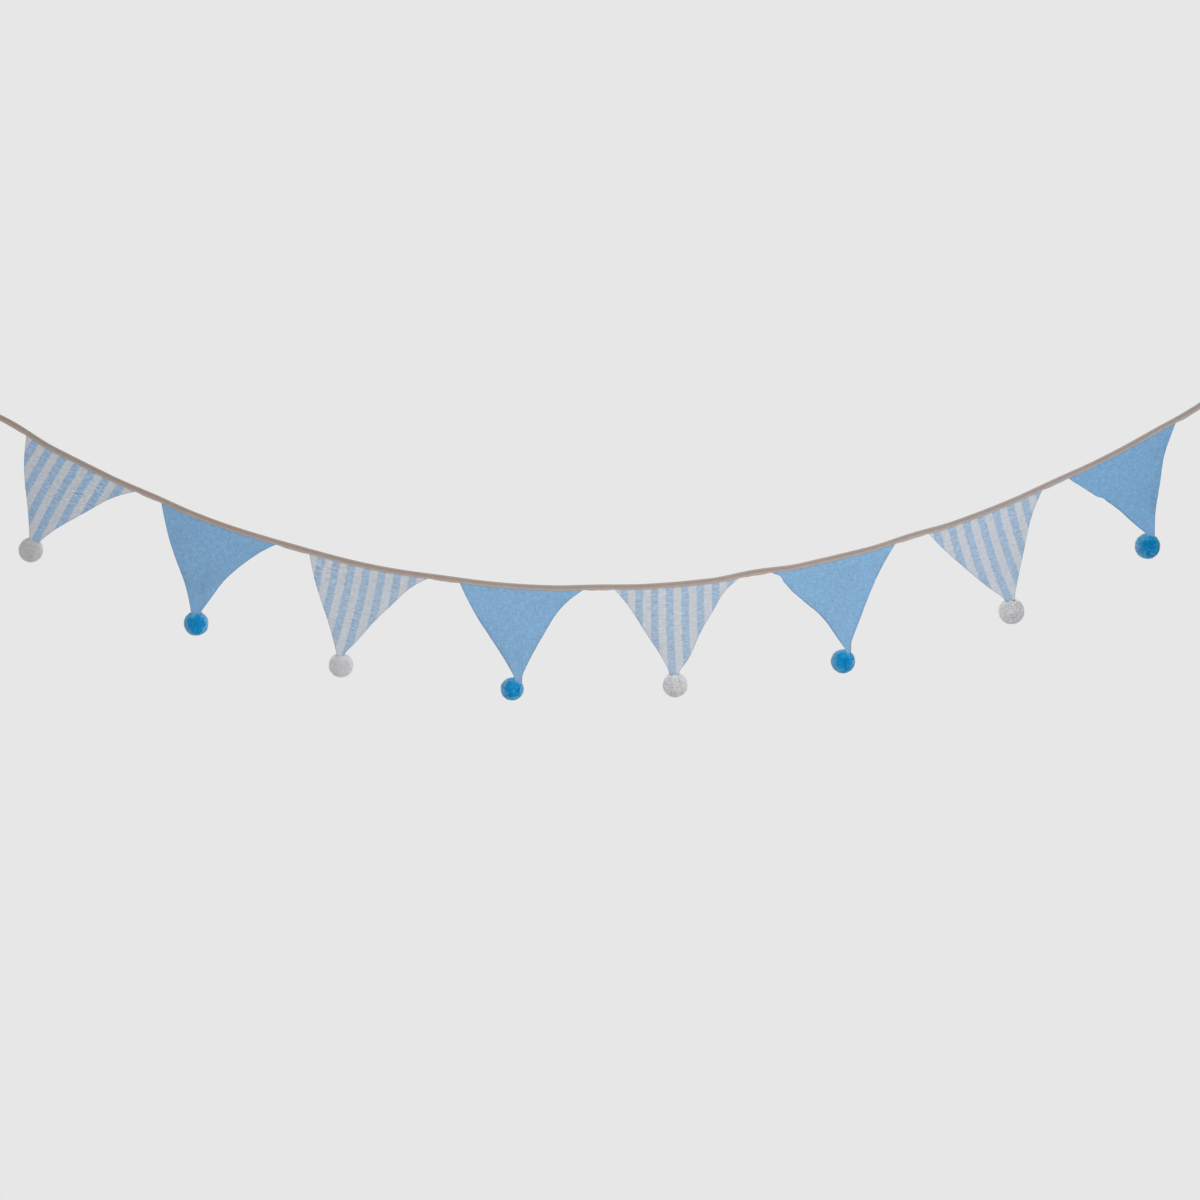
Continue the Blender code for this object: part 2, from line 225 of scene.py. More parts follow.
def make_piece(name, material, points, groups, values=None, uv=None):
    """An object from points (n, 3) and groups of faces, with named numbers and a UV pair at each point."""
    mesh = bpy.data.meshes.new(name)
    corners = np.concatenate([faces.ravel() for faces in groups]).astype(np.int32)
    sizes = np.concatenate([np.full(len(faces), faces.shape[1]) for faces in groups])
    mesh.vertices.add(len(points))
    mesh.vertices.foreach_set("co", points.astype(np.float32).ravel())
    mesh.loops.add(len(corners))
    mesh.loops.foreach_set("vertex_index", corners)
    mesh.polygons.add(len(sizes))
    mesh.polygons.foreach_set("loop_start", (np.cumsum(sizes) - sizes).astype(np.int32))
    mesh.update(calc_edges=True)
    mesh.shade_smooth()
    for key, numbers in (values or {}).items():
        mesh.attributes.new(key, "FLOAT", "POINT").data.foreach_set("value", numbers.astype(np.float32))
    if uv is not None:
        mesh.uv_layers.new(name="cloth").uv.foreach_set("vector", uv[corners].astype(np.float32).ravel())
    mesh.materials.append(material)
    piece = bpy.data.objects.new(name, mesh)
    scene.collection.objects.link(piece)
    print(f"{name}: {len(points)} points, {int((sizes - 2).sum())} triangles")
    return piece


# %% [markdown]
# ## Building materials from nodes
#
# Woven cloth is two families of threads that pass over and under each other. Its colour and its relief both
# follow from that, so one helper works out how high the surface is, and whether the warp or the weft is on
# top. The coordinates come from the piece's own UV map, in metres, so a thread has its real width on every
# piece and follows the cloth's folds.

# %% Node helpers
WHITE = (1, 1, 1, 1)
DYE_AND_SHADE_LEAVES = (0.85, 0.925, 0.975, 1)   # what a full share of extra dye and painted shade leaves of the light
HEM_SHADE_LEAVES = (0.66, 0.66, 0.70, 1)     # and what the painted shade along a pressed hem leaves


class Value:
    """A node's output. +, -, x and / between values, or a value and a number, add math nodes."""

    def __init__(self, maker, socket):
        self.maker, self.socket = maker, socket

    def __add__(self, other):
        return self.maker.math("ADD", self, other)

    def __sub__(self, other):
        return self.maker.math("SUBTRACT", self, other)

    def __mul__(self, other):
        return self.maker.math("MULTIPLY", self, other)

    def __truediv__(self, other):
        return self.maker.math("DIVIDE", self, other)


class Maker:
    """Adds nodes to one material. What a socket is given may be a constant or a Value."""

    def __init__(self, name, roughness, sheen=0.0, specular=0.25):
        self.material = bpy.data.materials.new(name)
        self.material.use_nodes = True
        self.tree = self.material.node_tree
        self.shader = self.tree.nodes["Principled BSDF"]
        constants = {"Roughness": roughness, "Sheen Weight": sheen, "Sheen Roughness": 0.6,
                     "Specular IOR Level": specular}
        for key, value in constants.items():
            self.shader.inputs[key].default_value = value

    def node(self, kind, sockets, output=0, **settings):
        """One of the outputs of a new node with these settings and sockets."""
        made = self.tree.nodes.new("ShaderNode" + kind)
        for key, value in settings.items():
            setattr(made, key, value)
        for key, value in sockets.items():
            if isinstance(value, Value):
                self.tree.links.new(value.socket, made.inputs[key])
            else:
                made.inputs[key].default_value = value
        return Value(self, made.outputs[output])

    def math(self, operation, *values):
        """The result of one operation on numbers."""
        return self.node("Math", dict(enumerate(values)), operation=operation)

    def split(self, vector):
        """The three coordinates of a vector."""
        outputs = self.node("SeparateXYZ", {"Vector": vector}).socket.node.outputs
        return [Value(self, output) for output in outputs]

    def ramp(self, value, low, high, to_low=0.0, to_high=1.0):
        """A value led smoothly from one range to another."""
        sockets = {"Value": value, "From Min": low, "From Max": high, "To Min": to_low, "To Max": to_high}
        return self.node("MapRange", sockets, interpolation_type="SMOOTHSTEP")

    def noise(self, x, y, z=0.0, scale=1.0, detail=2.0):
        """Soft random patches from three coordinates, about 0.5 on average."""
        place = self.node("CombineXYZ", {"X": x, "Y": y, "Z": z})
        return self.node("TexNoise", {"Vector": place, "Scale": scale, "Detail": detail}, output="Fac")

    def mix(self, share, first, second):
        """Two colours mixed: the first at 0, the second at 1."""
        return self.node("Mix", {0: share, 6: first, 7: second}, output=2, data_type="RGBA")

    def tint(self, colour, factor):
        """A colour made lighter or darker by a factor."""
        return self.node("VectorMath", {0: colour, "Scale": factor}, operation="SCALE")

    def multiply(self, first, second):
        """Two colours multiplied, channel by channel."""
        return self.node("VectorMath", {0: first, 1: second}, operation="MULTIPLY")

    def cloth_place(self):
        """The two cloth coordinates in metres: across the warp and along it."""
        return self.split(self.node("UVMap", {}, uv_map="cloth"))[:2]

    def object_place(self):
        """The object coordinates x, y and z."""
        return self.split(self.node("TexCoord", {}, output="Object"))

    def attribute(self, name):
        """A number that the mesh holds at each point."""
        return self.node("Attribute", {}, output="Fac", attribute_name=name)

    def weave(self, across, along, pitch, pitch_along=None):
        """A plain weave: with u and v counted in threads, a warp thread's profile is |cos(pi u)|, a weft
        thread's is |cos(pi v)|, and the product of the two cosines says which is on top. Gives the height,
        the warp's share of the surface, and u and v."""
        u, v = across / pitch, along / (pitch_along or pitch)
        wave_u, wave_v = [self.math("COSINE", turns * math.pi) for turns in (u, v)]
        warp_up = wave_u * wave_v * 0.5 + 0.5
        warp = self.math("ABSOLUTE", wave_u) * warp_up
        weft = self.math("ABSOLUTE", wave_v) * self.math("SUBTRACT", 1.0, warp_up)
        return self.math("MAXIMUM", warp, weft), self.ramp(warp - weft, -0.15, 0.15), u, v

    def cloth_tone(self, height, *parts):
        """How light a cloth is: 0.845 + 0.14 x height + the sum of strength x (part - 0.5). The height term
        is painted shade in the weave's low places.
        """
        tone = height * 0.14 + 0.845
        for part, strength in parts:
            tone = tone + (part - 0.5) * strength
        return tone

    def sewn_piece(self, colour):
        """What the mesh's own numbers add: a darker line of painted shade along the pressed hem, and a
        darker, bluer share that is partly a piece's extra dye and partly painted shade."""
        for name, leaves in (("hem_shade", HEM_SHADE_LEAVES), ("dye_and_shade", DYE_AND_SHADE_LEAVES)):
            colour = self.multiply(colour, self.mix(self.attribute(name), WHITE, leaves))
        return colour

    def finish(self, colour, height, distance, strength=1.0):
        """Join the colour and a relief of a given height in metres to the shader."""
        bump = self.node("Bump", {"Height": height, "Distance": distance, "Strength": strength})
        self.tree.links.new(colour.socket, self.shader.inputs["Base Color"])
        self.tree.links.new(bump.socket, self.shader.inputs["Normal"])
        print(self.material.name, "has", len(self.tree.nodes), "nodes")
        return self.material


# %% [markdown]
# ## Tape cotton
#
# The tape is a matt taupe cotton, a little greyer towards the right. It is darkest below the fold's crest,
# which is painted shade, and a little lighter along its lower edge, which is painted light. Its ribs run
# across it, because its weft is thicker than its warp, so the weave has a longer pitch along the tape. Soft
# patches keep it from looking printed.

# %% Tape cotton
TAPE_WARP = (0.346, 0.281, 0.246, 1)
TAPE_WEFT = (0.317, 0.257, 0.225, 1)
TAPE_GREYER = (0.99, 1.07, 1.15, 1)   # what its right end is multiplied by
GREYER_OVER = (0.05, 0.90)            # and the change comes on over this length of the tape, in metres
PAINTED_FOLD_SHADE = (0.8 * MM, 3.2 * MM)   # painted shade: from the fold's crest down the tape turns darker between these depths
PAINTED_EDGE_LIGHT = (4.6 * MM, 6.8 * MM)  # and below that painted light makes it lighter again


def make_tape_cotton(name, light, pitch_across, pitch_along):
    """Ribbed taupe weave. The UV map's first number runs along the tape and its second across it."""
    maker = Maker(name, roughness=0.88, sheen=0.08)
    along, across = maker.cloth_place()
    height, warp, u, v = maker.weave(across, along, pitch_across, pitch_along)
    rib = maker.noise(u * 0.1, v, detail=1.0)
    patch = maker.noise(along, across, scale=90.0)
    broad = maker.noise(along, 0.3, scale=9.0)
    depth = maker.math("ABSOLUTE", across)
    # painted shade below the fold's crest and painted light along the lower edge
    band = maker.ramp(depth, *PAINTED_FOLD_SHADE, 0.98, 0.80) * maker.ramp(depth, *PAINTED_EDGE_LIGHT, 1.0, 1.38)
    # height x 0.22 is painted shade in the weave's low places
    tone = height * 0.22 + 0.72 + rib * 0.20 + patch * 0.18 + broad * 0.12
    colour = maker.tint(maker.mix(warp, TAPE_WEFT, TAPE_WARP), tone * band * light)
    greyer = maker.mix(maker.ramp(along, *GREYER_OVER), WHITE, TAPE_GREYER)
    return maker.finish(maker.multiply(colour, greyer), height + patch * 0.8, 0.14 * MM)


tape_cotton = make_tape_cotton("tape_cotton", 1.0, 0.36 * MM, 0.62 * MM)

# %% [markdown]
# ## The folded tape
#
# A tape is folded along its length, the pennants' top edges are slipped into the fold, and one row of
# stitches goes through everything. In section it is a narrow drop: round at the fold, pinched at the
# stitches, and a little open at its raw edges. Where there is no pennant inside, the two leaves lie on each
# other.
#
# The section is a short table of points for a bare stretch and for one that holds a pennant, carried along
# the hanging line with the right blend of the two. The depth wavers, as a hand-folded tape's does, and each
# stitch draws the leaves together.

# %% The folded tape
STITCH_PITCH = 3.0 * MM
STITCH_ROW = 6                     # the leaf's row where the stitches go through
STITCH_SHARE = 0.78                # and its place, as a share of the tape's depth
STITCH_DRAW = 0.10 * MM            # how far a stitch draws a leaf in
STITCH_REACH = 0.12                # and over which share of the depth, on both sides of the row
TAPE_STATION = 1.0 * MM
# the unevenness of the tape's depth and of its thickness: strength, wavelengths in mm, phase
DEPTH_WAVER = (0.35 * MM, (143, 61, 27), 1.7)
SWELL_WAVER = (0.10, (97, 43, 19), 0.6)

# One leaf from the fold to the raw edge. Its outside: share of the depth, half the width in mm on a bare
# stretch and over a pennant. Its inside: the same three
LEAF = np.array([
    (0.000, 0.00, 0.00, 0.066, 0.00, 0.00), (0.030, 0.50, 0.58, 0.080, 0.12, 0.18),
    (0.100, 0.88, 1.08, 0.140, 0.32, 0.50), (0.280, 1.08, 1.42, 0.280, 0.48, 0.82),
    (0.500, 0.96, 1.42, 0.500, 0.36, 0.82), (0.680, 0.72, 1.22, 0.680, 0.16, 0.68),
    (0.780, 0.60, 1.08, 0.780, 0.10, 0.58), (0.890, 0.56, 1.02, 0.890, 0.12, 0.57),
    (1.000, 0.50, 0.94, 1.000, 0.14, 0.57),
])


def parted(arc):
    """1 over a pennant and a little beyond, fading smoothly to 0 where the leaves lie on each other."""
    outside = [np.maximum(row.start * MM - arc, arc - (row.start + row.width) * MM) for row in PENNANTS]
    return 1 - smooth((np.min(outside, 0) - TAPE_PART) / TAPE_CLOSE)


def waver(arc, lengths, phase):
    """An uneven wave between about -1 and 1: cosines of several wavelengths in mm, each out of step."""
    waves = [np.cos(2 * np.pi * arc / (length * MM) + phase * (k + 1)) for k, length in enumerate(lengths)]
    return sum(waves) / len(waves)


def tape_depth(arc):
    """Fold to raw edge: the bare depth blended to the depth over a pennant, wavering by 0.35 mm."""
    strength, lengths, phase = DEPTH_WAVER
    return BARE_DEPTH + (TAPE_DEPTH - BARE_DEPTH) * parted(arc) + strength * waver(arc, lengths, phase)


def leaf_shape(arc):
    """The outside and the inside of one leaf at each arc length: depth and half width, (stations, rows)."""
    out_share, out_bare, out_held, in_share, in_bare, in_held = LEAF.T
    held, depth = parted(arc)[:, None], tape_depth(arc)[:, None]
    draw = STITCH_DRAW * (0.5 + 0.5 * np.cos(2 * np.pi * (arc[:, None] - TAPE_FROM) / STITCH_PITCH))
    near = np.exp(-((out_share - STITCH_SHARE) / STITCH_REACH) ** 2)
    strength, lengths, phase = SWELL_WAVER
    swell = 1 + strength * waver(arc, lengths, phase)[:, None] * np.sin(np.pi * out_share)
    outer = (out_bare + (out_held - out_bare) * held) * MM * swell - draw * near
    inner = (in_bare + (in_held - in_bare) * held) * MM
    return depth * out_share, outer, depth * in_share, np.minimum(inner, outer)


def build_tape():
    """The closed section runs up the outside of the front leaf, over the fold, down the back leaf, and back
    again on the inside. At each end, faces between the outside and the inside close the leaves'
    thickness."""
    arc = np.linspace(TAPE_FROM, TAPE_TO, int((TAPE_TO - TAPE_FROM) / TAPE_STATION) + 1)
    out_depth, out_half, in_depth, in_half = leaf_shape(arc)
    y = np.concatenate([-out_half[:, :0:-1], out_half, in_half[:, ::-1], -in_half[:, 1:]], 1)
    depth = np.concatenate([out_depth[:, :0:-1], out_depth, in_depth[:, ::-1], in_depth[:, 1:]], 1)
    points = in_space(below_fold(arc[:, None], depth), y).reshape(-1, 3)
    count = y.shape[1]
    k = np.arange(count // 2 - 1)
    near_end = np.stack([k, k + 1, count - 2 - k, count - 1 - k], -1)
    far_end = near_end[:, ::-1] + (len(arc) - 1) * count
    faces = np.concatenate([grid_faces(len(arc), count, ring=True), far_end, near_end])
    uv = np.stack([np.broadcast_to(arc[:, None], y.shape), np.sign(y) * depth], -1).reshape(-1, 2)
    return make_piece("tape_folded", tape_cotton, points, outwards(points, faces), uv=uv)


tape = build_tape()
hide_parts("tape")
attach(tape, "root")

# %% [markdown]
# ## The stitches
#
# One row of lockstitch holds it all together and looks the same on both faces. A stitch is a short length of
# thread that comes up through the cloth, lies on it and dives back, so each is a small spindle whose ends
# are drawn below the surface. There are some fourteen hundred, so a spindle has only four sides, and all are
# one mesh.

# %% The stitches
STITCH_HALF = 1.15 * MM            # half the length that lies on the tape
THREAD_HALF = 0.21 * MM
STITCH_SIDES = 4
STITCH_STRAY = 0.06                # mm off the row, and a stitch's slope to it, as normal spreads
STITCH_OUT = 0.06 * MM             # a thread's middle in front of the leaf
THREAD_UV = 7 * MM                 # its place across the tape in the material, which gives it the painted light of the lower edge
# along the stitch and thickness as shares, rise in mm
STITCH_RINGS = ((-1.0, 0.0, -0.30), (-0.72, 0.85, 0.0), (0.0, 1.0, 0.12), (0.72, 0.85, 0.0),
                (1.0, 0.0, -0.30))


def spindle_faces(rings, sides):
    """Faces of a spindle whose points are its first end, rings of points, and its last end."""
    ring = np.arange(sides) + 1
    last_ring = ring + (rings - 1) * sides
    fans = [fan_faces(0, ring)[:, [0, 2, 1]], fan_faces(1 + rings * sides, last_ring)]
    return grid_faces(rings, sides, ring=True) + 1, np.concatenate(fans)


def repeat_faces(faces, copies, points_each):
    """The same faces for every copy, each counting from its own first point."""
    return (faces[None] + (np.arange(copies) * points_each)[:, None, None]).reshape(-1, faces.shape[1])


def build_stitches():
    """Each spindle's point: place on the tape + along x length + down x thickness + outwards x (thickness
    and rise). The ends are a single point, sunk into the cloth."""
    rng = np.random.default_rng(7)
    arc = np.arange(TAPE_FROM + STITCH_PITCH / 2, TAPE_TO - STITCH_PITCH / 2, STITCH_PITCH)
    point, along, down = fold_frame(arc)
    stray = rng.normal(0, STITCH_STRAY * MM, len(arc))
    middle = point + down * (tape_depth(arc) * STITCH_SHARE + stray)[:, None]
    long = unit(along + down * rng.normal(0, STITCH_STRAY, len(arc))[:, None])
    turns = np.arange(STITCH_SIDES) * 2 * np.pi / STITCH_SIDES
    shape = np.array([(place * STITCH_HALF, thick * THREAD_HALF * np.cos(turn),
                       thick * THREAD_HALF * np.sin(turn) + rise * MM)
                      for place, thick, rise in STITCH_RINGS for turn in (turns if thick else turns[:1])])
    place = middle[:, None] + long[:, None] * shape[:, :1] + down[:, None] * shape[:, 1:2]
    out = leaf_shape(arc)[1][:, STITCH_ROW, None] + STITCH_OUT + shape[:, 2]
    faces = [repeat_faces(part, len(arc), len(shape)) for part in spindle_faces(3, STITCH_SIDES)]
    sides = [in_space(place, facing * out).reshape(-1, 3) for facing in (-1, 1)]
    front, back = [outwards(side, *faces) for side in sides]
    groups = [np.concatenate([a, b + len(sides[0])]) for a, b in zip(front, back)]
    points = np.concatenate(sides)
    uv = np.stack([points[:, 0], np.full(len(points), THREAD_UV)], -1)
    thread = make_tape_cotton("stitch_thread", 1.02, 0.12 * MM, 0.2 * MM)
    return make_piece("tape_stitches", thread, points, groups, uv=uv)


stitches = build_stitches()
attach(stitches, "root")

# %% [markdown]
# ## Striped cotton
#
# The striped pennants are woven with coloured warp: a band of blue threads, then one of off-white, each 12.5
# mm wide, all crossed by the same off-white weft. That is why the blue looks pale and chalky: every second
# speck of it is weft. So the material mixes warp and weft thread by thread, and only the warp changes
# colour. The UV map counts from the middle of a blue stripe, and bends with the cloth.
#
# The weft is a little too tight in the blue bands and puckers them. The puckers are in the relief, and their
# painted shade shows as small darker marks across the stripe, about 4 mm apart.

# %% Striped cotton
STRIPE = 25 * MM                   # one blue and one off-white band
WEFT_WHITE = (0.517, 0.541, 0.580, 1)
WARP_WHITE = (0.494, 0.521, 0.567, 1)
WARP_BLUE = (0.139, 0.321, 0.543, 1)
WARP_DEEP = (0.069, 0.297, 0.589, 1)   # where the blue took best
COTTON_PITCH = 0.46 * MM


def make_striped_cotton():
    """Blue where the distance from a stripe's middle is under a quarter of the repeat."""
    maker = Maker("striped_cotton", roughness=0.86, sheen=0.10)
    across, along = maker.cloth_place()
    height, warp, u, v = maker.weave(across, along, COTTON_PITCH)
    uneven = maker.noise(across * 30, along * 260) * 0.05 + 0.475
    off_middle = maker.math("ABSOLUTE", maker.math("FRACT", across / STRIPE + uneven) - 0.5)
    blue = maker.ramp(off_middle, 0.236, 0.264, 1.0, 0.0)
    thread = maker.noise(u, v * 0.05, detail=1.0)
    pick = maker.noise(u * 0.04, v, detail=1.0)
    pucker_and_shade = maker.noise(across * 110, along * 330)
    patch = maker.noise(across, along, scale=38.0)
    # how strong the puckers' painted shade is, strongest on the blue
    drawn = (blue * 0.34 + 0.46) * maker.attribute("pucker_and_shade")
    tone = maker.cloth_tone(height, (thread, 0.16), (pick, 0.14), (pucker_and_shade, drawn), (patch, 0.07))
    stripe = maker.mix(blue, WARP_WHITE, maker.mix(maker.attribute("deep"), WARP_BLUE, WARP_DEEP))
    colour = maker.sewn_piece(maker.tint(maker.mix(warp, WEFT_WHITE, stripe), tone))
    return maker.finish(colour, height + pucker_and_shade * 1.6 + thread * 0.5, 0.11 * MM)


striped_cotton = make_striped_cotton()

# %% [markdown]
# ## Plain linen
#
# The plain pennants have the look of linen: one blue for warp and weft, with yarns that swell and thin along
# their length. The thick places, called slubs, show as short darker and lighter dashes in both directions,
# stronger than the single threads from a step away.

# %% Plain linen
LINEN_WARP = (0.174, 0.352, 0.555, 1)
LINEN_WEFT = (0.227, 0.393, 0.577, 1)
LINEN_CASTS = ((0.90, 1.02, 1.02, 1), (1.12, 1.0, 1.02, 1))   # greener and redder patches
LINEN_PITCH = 0.55 * MM


def make_plain_linen():
    """Two noises, one drawn out along the warp and one along the weft, stand for the slubs."""
    maker = Maker("plain_linen", roughness=0.84, sheen=0.06)
    across, along = maker.cloth_place()
    height, warp, u, v = maker.weave(across, along, LINEN_PITCH)
    thread = maker.noise(u, v * 0.06, detail=1.0)
    pick = maker.noise(u * 0.06, v, detail=1.0)
    slub = maker.noise(across * 420, along * 110)
    slub_weft = maker.noise(across * 110, along * 420, 3.0)
    patch = maker.noise(across, along, scale=30.0)
    hue = maker.noise(across * 260, along * 200, 7.0)
    slubs = ((slub, 0.50), (slub_weft, 0.46))
    tone = maker.cloth_tone(height, (thread, 0.16), (pick, 0.14), *slubs, (patch, 0.06))
    # painted shade, darker where the mesh's number for it is high
    tone = tone * (maker.attribute("pucker_and_shade") * -0.10 + 1.0)
    colour = maker.tint(maker.mix(warp, LINEN_WEFT, LINEN_WARP), tone)
    colour = maker.multiply(colour, maker.mix(maker.ramp(hue, 0.35, 0.65), *LINEN_CASTS))
    return maker.finish(maker.sewn_piece(colour), height + slub * 0.9 + slub_weft * 0.7, 0.13 * MM)


plain_linen = make_plain_linen()

# %% [markdown]
# ## How a pennant hangs
#
# A pennant is a triangle of cloth. Its top edge follows the tape, its tip is pulled down by the pompom, and
# its two sides bow in where the cloth is off the straight grain and gives way. A little above the tip the
# weight draws them together, and they turn plumb: that is the neck. On two pennants small folds are caught
# in the left side and step its outline. The sheet is a function of two numbers: across, from left to right,
# and down, from the tape to the tip.
#
# In depth it has three parts that the construction has as well: the middle stands forward like a shallow
# belly, the sides that are drawn in turn back, and two soft pleats run down into the tip. The creases of the
# real pennants are added one by one, in a table, as soft troughs and ridges between two places on the cloth,
# and a fine seeded crinkle covers the rest.

# %% The hanging cloth
TOP_EASE = 0.25                    # from the tape the cloth eases into its depth over this share of the drop
TIP_FLAT, TIP_EASE = 0.90, 0.22    # from here down the tip is flat, and it eases into that over this share
CURL_SHARE = 0.6                   # how far a drawn-in side turns back, as a share of its bow
PLEAT = 1.0 * MM
PLEAT_FROM, PLEAT_EASE = 0.3, 0.4  # the pleats begin here, and grow over this share
NECK_SOFT = 0.012                  # how softly a side turns plumb, as a share of the drop
CRINKLES = 18                      # how many plane waves make the crinkle
CRINKLE_LONG = (6, 18)             # mm, their wavelengths
CRINKLE_HIGH = 0.0030              # and their height, as a share of the wavelength
SIDE_WAVER = 0.22 * MM
SIDE_WAVES = (((41, 23, 11), 97), ((37, 19, 13), 71))   # left, right: wavelengths in mm, phase divisor

# pennant: small steps in its left side as (down, length up, length down, mm inwards)
SIDE_STEPS = {
    "6": [(0.075, 0.075, 0.07, 3.5), (0.24, 0.08, 0.10, -1.1)],
    "8": [(0.15, 0.15, 0.17, 1.2), (0.33, 0.10, 0.03, -1.4), (0.385, 0.12, 0.03, 1.3)],
}

# pennant: creases as (across, down) of the first and the last place, half width in mm, height in mm, forward
# if positive
CREASES = {
    "1": [(0.56, 0.08, 0.44, 0.78, 9.0, 0.6), (0.80, 0.05, 0.60, 0.66, 6.0, -0.5),
          (0.30, 0.15, 0.36, 0.80, 8.0, -0.5), (0.93, 0.05, 0.78, 0.36, 4.0, 0.4)],
    "2": [(0.48, 0.88, 0.36, 0.22, 3.0, 0.35), (0.53, 0.88, 0.50, 0.26, 2.6, -0.35),
          (0.58, 0.88, 0.62, 0.30, 2.6, 0.35), (0.62, 0.86, 0.74, 0.26, 3.2, -0.4),
          (0.42, 0.84, 0.20, 0.28, 4.0, -0.3), (0.90, 0.34, 0.86, 0.86, 7.0, 1.5)],
    "3": [(0.07, 0.05, 0.30, 0.52, 6.0, 0.5), (0.62, 0.06, 0.50, 0.80, 9.0, -0.5),
          (0.86, 0.06, 0.62, 0.70, 7.0, 0.5), (0.22, 0.04, 0.40, 0.70, 6.0, -0.4)],
    "4": [(0.28, 0.06, 0.44, 0.82, 11.0, -0.4), (0.74, 0.06, 0.56, 0.82, 9.0, 0.5),
          (0.94, 0.10, 0.80, 0.60, 5.0, 0.6), (0.52, 0.50, 0.50, 0.90, 3.0, -0.3)],
    "5": [(0.36, 0.05, 0.46, 0.84, 9.0, 0.5), (0.70, 0.05, 0.55, 0.82, 8.0, -0.5),
          (0.90, 0.05, 0.66, 0.62, 5.0, 0.4)],
    "6": [(0.22, 0.05, 0.44, 0.84, 7.0, 0.4), (0.50, 0.05, 0.52, 0.86, 10.0, -0.5),
          (0.80, 0.05, 0.60, 0.80, 8.0, 0.4), (0.05, 0.42, 0.20, 0.84, 2.5, -0.5)],
    "7": [(0.34, 0.05, 0.50, 0.84, 9.0, -0.5), (0.66, 0.05, 0.58, 0.82, 8.0, 0.5),
          (0.12, 0.06, 0.40, 0.74, 5.0, 0.4), (0.92, 0.06, 0.74, 0.60, 4.5, -0.4)],
    "8": [(0.30, 0.05, 0.50, 0.86, 9.0, 0.5), (0.62, 0.05, 0.58, 0.84, 10.0, -0.5),
          (0.06, 0.30, 0.30, 0.42, 4.0, 0.6), (0.88, 0.05, 0.72, 0.66, 6.0, 0.4)],
}


def corners_and_tip(row):
    """A pennant's two corners under the tape, and its tip: their middle + drop x (sin, -cos) of the lean."""
    left, right = [below_fold(arc * MM, TAPE_DEPTH) for arc in (row.start, row.start + row.width)]
    lean = math.radians(row.lean)
    return left, right, (left + right) / 2 + row.drop * MM * np.array([math.sin(lean), -math.cos(lean)])


def side_line(corner, tip, bows, neck, down, extra):
    """A side: the straight line from corner to neck, pushed sideways by bows of one and more half waves, and
    plumb from the neck down to the tip's level. The share of the way to the neck stops softly at 1, as (x +
    1 - sqrt((x - 1)^2 + 4 soft^2)) / 2. Also the bow itself."""
    turn = tip + np.array(neck) * MM
    level = down / (1 - (turn[1] - tip[1]) / (corner[1] - tip[1]))
    share = np.maximum((level + 1 - np.sqrt((level - 1) ** 2 + 4 * NECK_SOFT ** 2)) / 2, 0)
    along = turn - corner
    square = np.array([along[1], -along[0]]) / np.hypot(*along)
    bow = sum(strength * MM * np.sin((k + 1) * np.pi * share) for k, strength in enumerate(bows))
    place = corner + along * share[..., None] + square * (bow + extra)[..., None]
    place[..., 1] += along[1] * (level - share)
    return place, bow


def side_steps(row, down):
    """Small folds caught in the left side: each swells over one length and fades over the other."""
    steps = [-size * MM * smooth((down - middle + before) / before) * smooth((middle + after - down) / after)
             for middle, before, after, size in SIDE_STEPS.get(row.name, [])]
    return sum(steps, np.zeros_like(down))


def cloth_place(row, across, down):
    """The sheet seen from the front, and its two bows. Each level is straight between the sides, and the
    tape's own curve fades out with the square of the distance from the tape. The tip's end is round."""
    left_corner, right_corner, tip = corners_and_tip(row)
    fine = [SIDE_WAVER * waver(down * row.drop * MM, lengths, row.start / divisor) * np.sin(np.pi * down)
            for lengths, divisor in SIDE_WAVES]
    left, left_bow = side_line(left_corner, tip, row.left, row.necks[0], down,
                               fine[0] + side_steps(row, down))
    right, right_bow = side_line(right_corner, tip, row.right, row.necks[1], down, fine[1])
    edge = below_fold((row.start + row.width * across) * MM, TAPE_DEPTH)
    chord = left_corner + (right_corner - left_corner) * across[..., None]
    place = left + (right - left) * across[..., None] + (edge - chord) * ((1 - down) ** 2)[..., None]
    place[..., 1] -= TIP_ROUND * 4 * across * (1 - across) * down ** 8
    return place, left_bow, right_bow


def both_sides(row, down):
    """The left and the right side's places at these levels."""
    return [cloth_place(row, np.full(len(down), side), down)[0] for side in (0.0, 1.0)]


def crease_depth(row, place):
    """For each crease: its height x a bell across it, exp(-(distance / half width)^2), x a half wave
    along."""
    total = np.zeros(place.shape[:-1])
    for *ends, wide, high in CREASES[row.name]:
        begin, end = cloth_place(row, np.array(ends[::2]), np.array(ends[1::2]))[0]
        along = end - begin
        share = np.clip(((place - begin) @ along) / (along @ along), 0, 1)
        distance = np.linalg.norm(place - begin - share[..., None] * along, axis=-1)
        total += high * MM * np.exp(-(distance / (wide * MM)) ** 2) * np.sin(np.pi * share) ** 0.7
    return total


def crinkle(place, seed):
    """A fine unevenness: plane waves of 6 to 18 mm in seeded directions, the long ones the highest."""
    rng = np.random.default_rng(seed)
    angle = rng.uniform(0, np.pi, CRINKLES)
    length = rng.uniform(*CRINKLE_LONG, CRINKLES) * MM
    phase = rng.uniform(0, 2 * np.pi, CRINKLES)
    wave = place[..., 0, None] * np.cos(angle) + place[..., 1, None] * np.sin(angle)
    return (np.cos(2 * np.pi * wave / length + phase) * length).sum(-1) * CRINKLE_HIGH


